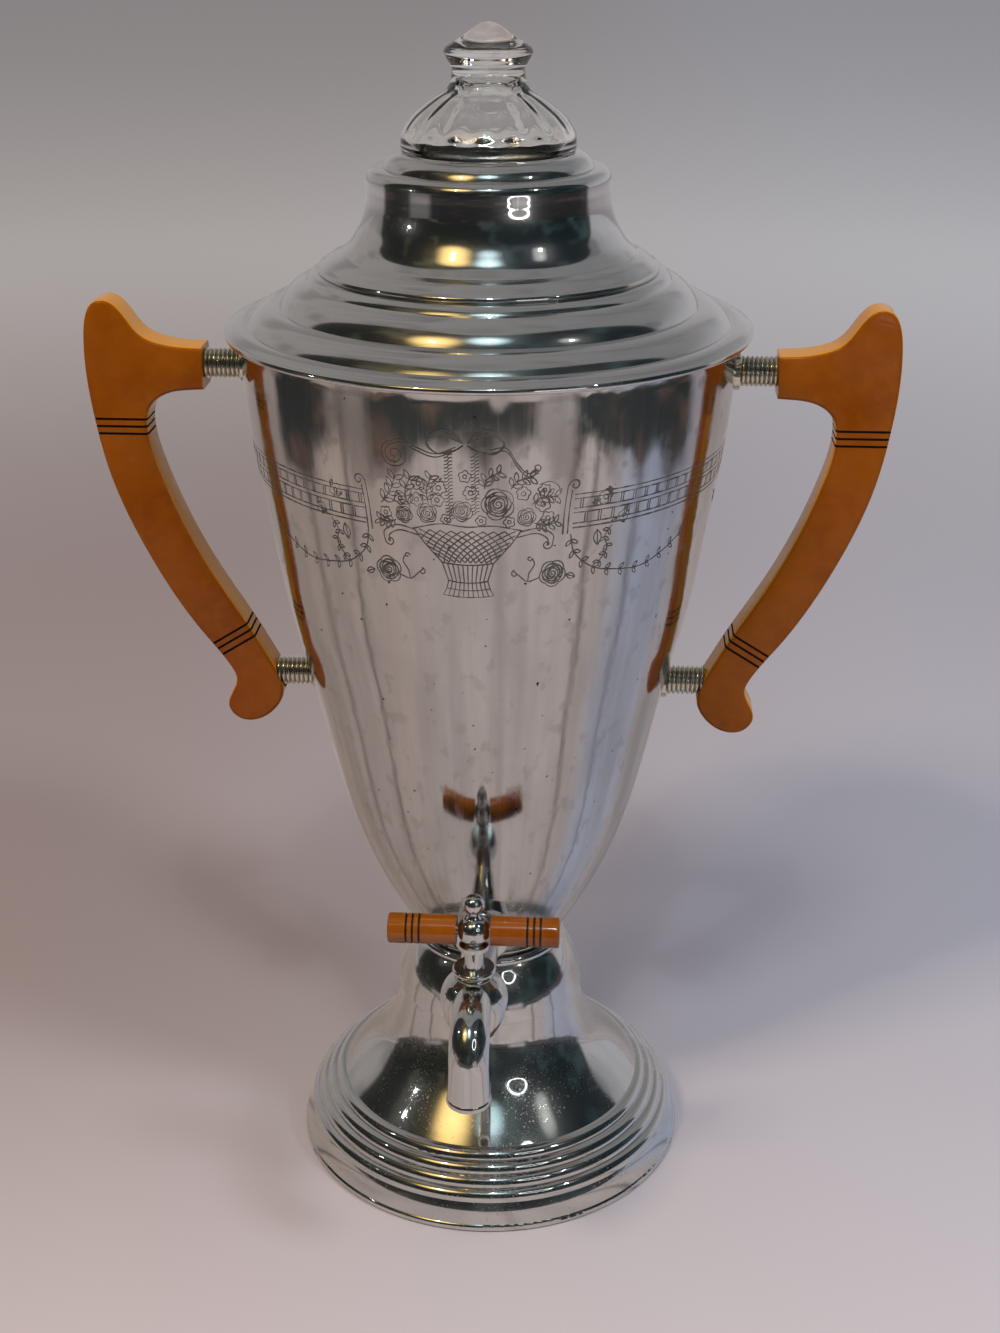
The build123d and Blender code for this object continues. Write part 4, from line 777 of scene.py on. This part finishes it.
# Painted shade: soft dark streaks in the reflected floor.
shade_streaks = 0.0
for centre, half, depth in ((-66, 2.6, 0.8), (52, 3.0, 0.7), (78, 2.4, 0.6), (-92, 3.6, 0.6),
                            (10, 5.0, 0.25)):
    away = f.sum("ABSOLUTE", f.sum("SUBTRACT", f.sum("MULTIPLY_ADD", mottle, 9.0, turn), centre + 4.5))
    shade_streaks = f.sum("MAXIMUM", shade_streaks, f.ease(away, 0.0, half, depth, 0.0))
# The reflected floor's tones are painted too: warmer on the left, cooler on the right, darker in mottled
# patches, paler further out.
sideways_on = f.sum("DIVIDE", x, reach)
warm_side = f.blend(f.ease(sideways_on, -0.95, -0.2), (0.47, 0.40, 0.37), (0.55, 0.49, 0.475))
near_tone = f.blend(f.ease(sideways_on, 0.86, 0.99), warm_side, (0.42, 0.46, 0.58))
near_tone = f.blend(f.ease(mottle, 0.35, 0.65, 0.0, 0.4), near_tone, (0.33, 0.30, 0.30))
near_tone = f.blend(shade_streaks, near_tone, (0.12, 0.10, 0.10))
near_tone = f.blend(f.ease(reach, 0.7, 2.0), near_tone, (1.0, 0.95, 0.94))
far_dark = f.blend(f.ease(mottle, 0.5, 0.72), (0.045, 0.052, 0.052), (0.19, 0.12, 0.10))
mirrored = f.blend(dark, near_tone, far_dark)
# Painted shade and light on the paper: darker behind the urn, warm on the left and cool on the right, and
# brighter far off.
near_paper = f.blend(f.ease(x, -0.35, 0.35), (0.55, 0.465, 0.46), (0.56, 0.52, 0.545))
shaded_middle_paper = f.blend(f.ease(x, -0.25, 0.25), (0.34, 0.28, 0.275), (0.45, 0.435, 0.48))
lit_far_paper = f.blend(f.ease(x, -0.6, 0.6), (0.78, 0.745, 0.72), (0.86, 0.88, 0.91))
paper = f.blend(f.ease(y, -0.26, 0.12), near_paper, shaded_middle_paper)
paper = f.blend(f.ease(reach, 0.55, 1.9), paper, lit_far_paper)
f.put(f.surface, "Base Color", f.blend(ray["Is Glossy Ray"], paper, mirrored))
floor_mesh.materials.append(f.material)

# Studio sky: even and pale for the light on the urn. The chrome reflects a dark part in front of it
# between pale mottled sides, with a warm glow high on the left, a cool one above the middle and a
# faint one on the right.
world = bpy.data.worlds.new("studio")
bpy.context.scene.world = world
world.use_nodes = True
sky = world.node_tree
sky.nodes.clear()


def sky_node(kind, *values):
    """One node of the sky, with its first inputs set or linked."""
    node = sky.nodes.new(kind)
    for index, value in enumerate(values):
        if isinstance(value, bpy.types.NodeSocket):
            sky.links.new(value, node.inputs[index])
        else:
            node.inputs[index].default_value = value
    return node


def sky_sum(operation, *values):
    """One sum in the sky's nodes."""
    node = sky_node("ShaderNodeMath", *values)
    node.operation = operation
    return node.outputs[0]


def sky_ease(value, low, high, at_low, at_high):
    """A smooth step in the sky's nodes."""
    node = sky_node("ShaderNodeMapRange", value, low, high, at_low, at_high)
    node.interpolation_type = "SMOOTHSTEP"
    return node.outputs[0]


def sky_blend(share, first, second):
    """A colour between two colours in the sky's nodes."""
    node = sky_node("ShaderNodeMix", share)
    node.data_type = "RGBA"
    for index, colour in ((6, first), (7, second)):
        if isinstance(colour, bpy.types.NodeSocket):
            sky.links.new(colour, node.inputs[index])
        else:
            node.inputs[index].default_value = (*colour, 1)
    return node.outputs[2]


def sky_noise(scale, detail, distortion=0.0):
    """Soft noise over the whole sky."""
    node = sky.nodes.new("ShaderNodeTexNoise")
    for name, value in (("Scale", scale), ("Detail", detail), ("Distortion", distortion)):
        node.inputs[name].default_value = value
    sky.links.new(way, node.inputs["Vector"])
    return node.outputs["Fac"]


# In degrees: how far the dark part reaches to either side of the front, and how high
DARK_HALF_WIDTH, DARK_HEIGHT = 109.0, 71.0
way = sky.nodes.new("ShaderNodeTexCoord").outputs["Generated"]
sky_x, sky_y, sky_z = sky_node("ShaderNodeSeparateXYZ", way).outputs
azimuth = sky_sum("MULTIPLY", sky_sum("ARCTAN2", sky_x, sky_sum("MULTIPLY", sky_y, -1.0)), TO_DEGREES)
elevation = sky_sum("MULTIPLY", sky_sum("ARCSINE", sky_z), TO_DEGREES)
sideways = sky_sum("POWER", sky_sum("DIVIDE", sky_sum("ABSOLUTE", azimuth), DARK_HALF_WIDTH), 4.0)
upwards = sky_sum("POWER", sky_sum("DIVIDE", sky_sum("MAXIMUM", elevation, 0.0), DARK_HEIGHT), 4.0)
dark_share = sky_ease(sky_sum("ADD", sideways, upwards), 0.92, 1.08, 1.0, 0.0)
faint_share = sky_ease(sky_noise(3.5, 3.0), 0.5, 0.68, 0.0, 1.0)
to_right = sky_ease(azimuth, -60.0, 40.0, 0.0, 1.0)
unlit = sky_blend(to_right, (0.013, 0.016, 0.013), (0.007, 0.014, 0.016))
faintly_lit = sky_blend(to_right, (0.085, 0.085, 0.055), (0.035, 0.065, 0.07))
dark_tone = sky_blend(faint_share, unlit, faintly_lit)
side_share = sky_ease(sky_x, -0.8, 0.8, 0.0, 1.0)
high_pale = sky_blend(side_share, (0.37, 0.345, 0.33), (0.27, 0.27, 0.275))
low_pale = sky_blend(side_share, (0.42, 0.385, 0.375), (0.52, 0.51, 0.53))
pale_tone = sky_blend(sky_ease(elevation, 8.0, 34.0, 0.0, 1.0), low_pale, high_pale)
mottled = sky_ease(sky_noise(2.2, 4.0, 0.8), 0.46, 0.68, 0.0, 0.5)
pale_tone = sky_blend(mottled, pale_tone, (0.13, 0.12, 0.12))


def glow(tone, at_azimuth, at_elevation, radius, colour, strength):
    """Adds a soft round glow to the sky: the cosine of the angle to its centre, eased."""
    across, up = math.radians(at_azimuth), math.radians(at_elevation)
    dot = sky.nodes.new("ShaderNodeVectorMath")
    dot.operation = "DOT_PRODUCT"
    sky.links.new(way, dot.inputs[0])
    dot.inputs[1].default_value = (math.cos(up) * math.sin(across), -math.cos(up) * math.cos(across),
                                   math.sin(up))
    share = sky_ease(dot.outputs["Value"], math.cos(math.radians(radius)), 1.0, 0.0, 1.0)
    return sky_blend(sky_sum("MULTIPLY", sky_sum("POWER", share, 3.0), strength), tone, colour)


dark_tone = glow(dark_tone, -34, 50, 18, (2.4, 1.6, 0.52), 0.85)
dark_tone = glow(dark_tone, 3, 57, 14, (1.3, 1.8, 1.9), 0.85)
dark_tone = glow(dark_tone, 57, 45, 8, (0.9, 0.95, 0.9), 0.5)
mirrored_sky = sky_blend(dark_share, pale_tone, dark_tone)
path = sky.nodes.new("ShaderNodeLightPath").outputs
seen = sky_blend(path["Is Camera Ray"], (0.30, 0.29, 0.305), (0.31, 0.285, 0.30))
seen = sky_blend(path["Is Transmission Ray"], seen, (0.31, 0.285, 0.30))
seen = sky_blend(path["Is Glossy Ray"], seen, mirrored_sky)
light = sky_node("ShaderNodeBackground", seen, 1.0)
sky.links.new(light.outputs[0], sky.nodes.new("ShaderNodeOutputWorld").inputs[0])


# Lamps: three large soft ones, warm on the left and cool on the right, for light and shadow, and four
# small bright ones for glints in the chrome.
def lamp(name, place, colour, power, size, glossy=True):
    """A round area lamp that faces the middle of the urn."""
    source = bpy.data.lights.new(name, "AREA")
    source.shape = "DISK"
    source.size = size
    source.color = colour
    source.energy = power
    fixture = bpy.data.objects.new(name, source)
    fixture.location = place
    fixture.rotation_euler = (Vector(place) - Vector((0, 0, 0.2))).to_track_quat("Z", "Y").to_euler()
    fixture.visible_glossy = glossy
    bpy.context.scene.collection.objects.link(fixture)


lamp("soft_warm", (-0.86, -1.02, 1.70), (1.0, 0.82, 0.64), 17, 0.4, glossy=False)
lamp("soft_middle", (0.06, -1.06, 1.90), (0.96, 1.0, 1.0), 11, 0.4, glossy=False)
lamp("soft_cool", (1.18, -0.77, 1.61), (0.80, 0.88, 1.0), 15, 0.4, glossy=False)
lamp("glint_left", (-0.576, -0.20, 0.447), (1.0, 0.98, 0.95), 0.06, 0.018)
lamp("glint_warm", (-1.05, -1.55, 2.45), (1.0, 0.82, 0.5), 5.0, 0.10)
lamp("glint_cool", (0.12, -1.45, 2.55), (0.85, 0.97, 1.0), 4.0, 0.09)
lamp("glint_right", (1.9, -1.2, 2.45), (1.0, 0.98, 0.95), 2.5, 0.08)

# Ring lamp: a small glowing ring near the urn on the right. It is seen only in the metal and throws
# no shadow.
RING_CENTRE = np.array([0.208, -0.358, 0.288])
RING_FACING = (0.288, -0.496, 0.819)
RING_RADIUS, TUBE_RADIUS = 0.068, 0.006
AROUND_RING, AROUND_TUBE = 48, 12
ring_turn, tube_turn = np.meshgrid(np.linspace(0, 2 * math.pi, AROUND_RING, endpoint=False),
                                   np.linspace(0, 2 * math.pi, AROUND_TUBE, endpoint=False),
                                   indexing="ij")
ring_out = RING_RADIUS + TUBE_RADIUS * np.cos(tube_turn)
ring_flat = np.stack([ring_out * np.cos(ring_turn), ring_out * np.sin(ring_turn),
                      TUBE_RADIUS * np.sin(tube_turn)], 2).reshape(-1, 3)
ring_way = np.array(Vector(RING_FACING).to_track_quat("Z", "Y").to_matrix())
ring_index = np.arange(AROUND_RING * AROUND_TUBE).reshape(AROUND_RING, AROUND_TUBE)
ring_faces = np.stack([ring_index, np.roll(ring_index, -1, 1), np.roll(np.roll(ring_index, -1, 0), -1, 1),
                       np.roll(ring_index, -1, 0)], 2).reshape(-1, 4)
ring_mesh = bpy.data.meshes.new("ring_lamp")
ring_mesh.from_pydata((ring_flat @ ring_way.T + RING_CENTRE).tolist(), [], ring_faces.tolist())
ring_lamp = bpy.data.objects.new("ring_lamp", ring_mesh)
bpy.context.scene.collection.objects.link(ring_lamp)
ring_lamp.visible_camera = False
ring_lamp.visible_diffuse = False
ring_lamp.visible_transmission = False
ring_lamp.visible_shadow = False
f = Finish("ring_light", (0, 0, 0), 0.0, 1.0)
f.surface.inputs["Emission Color"].default_value = (1.0, 0.99, 0.97, 1)
f.surface.inputs["Emission Strength"].default_value = 4.0
ring_mesh.materials.append(f.material)

# Plain colours
bpy.context.scene.view_settings.view_transform = "Standard"
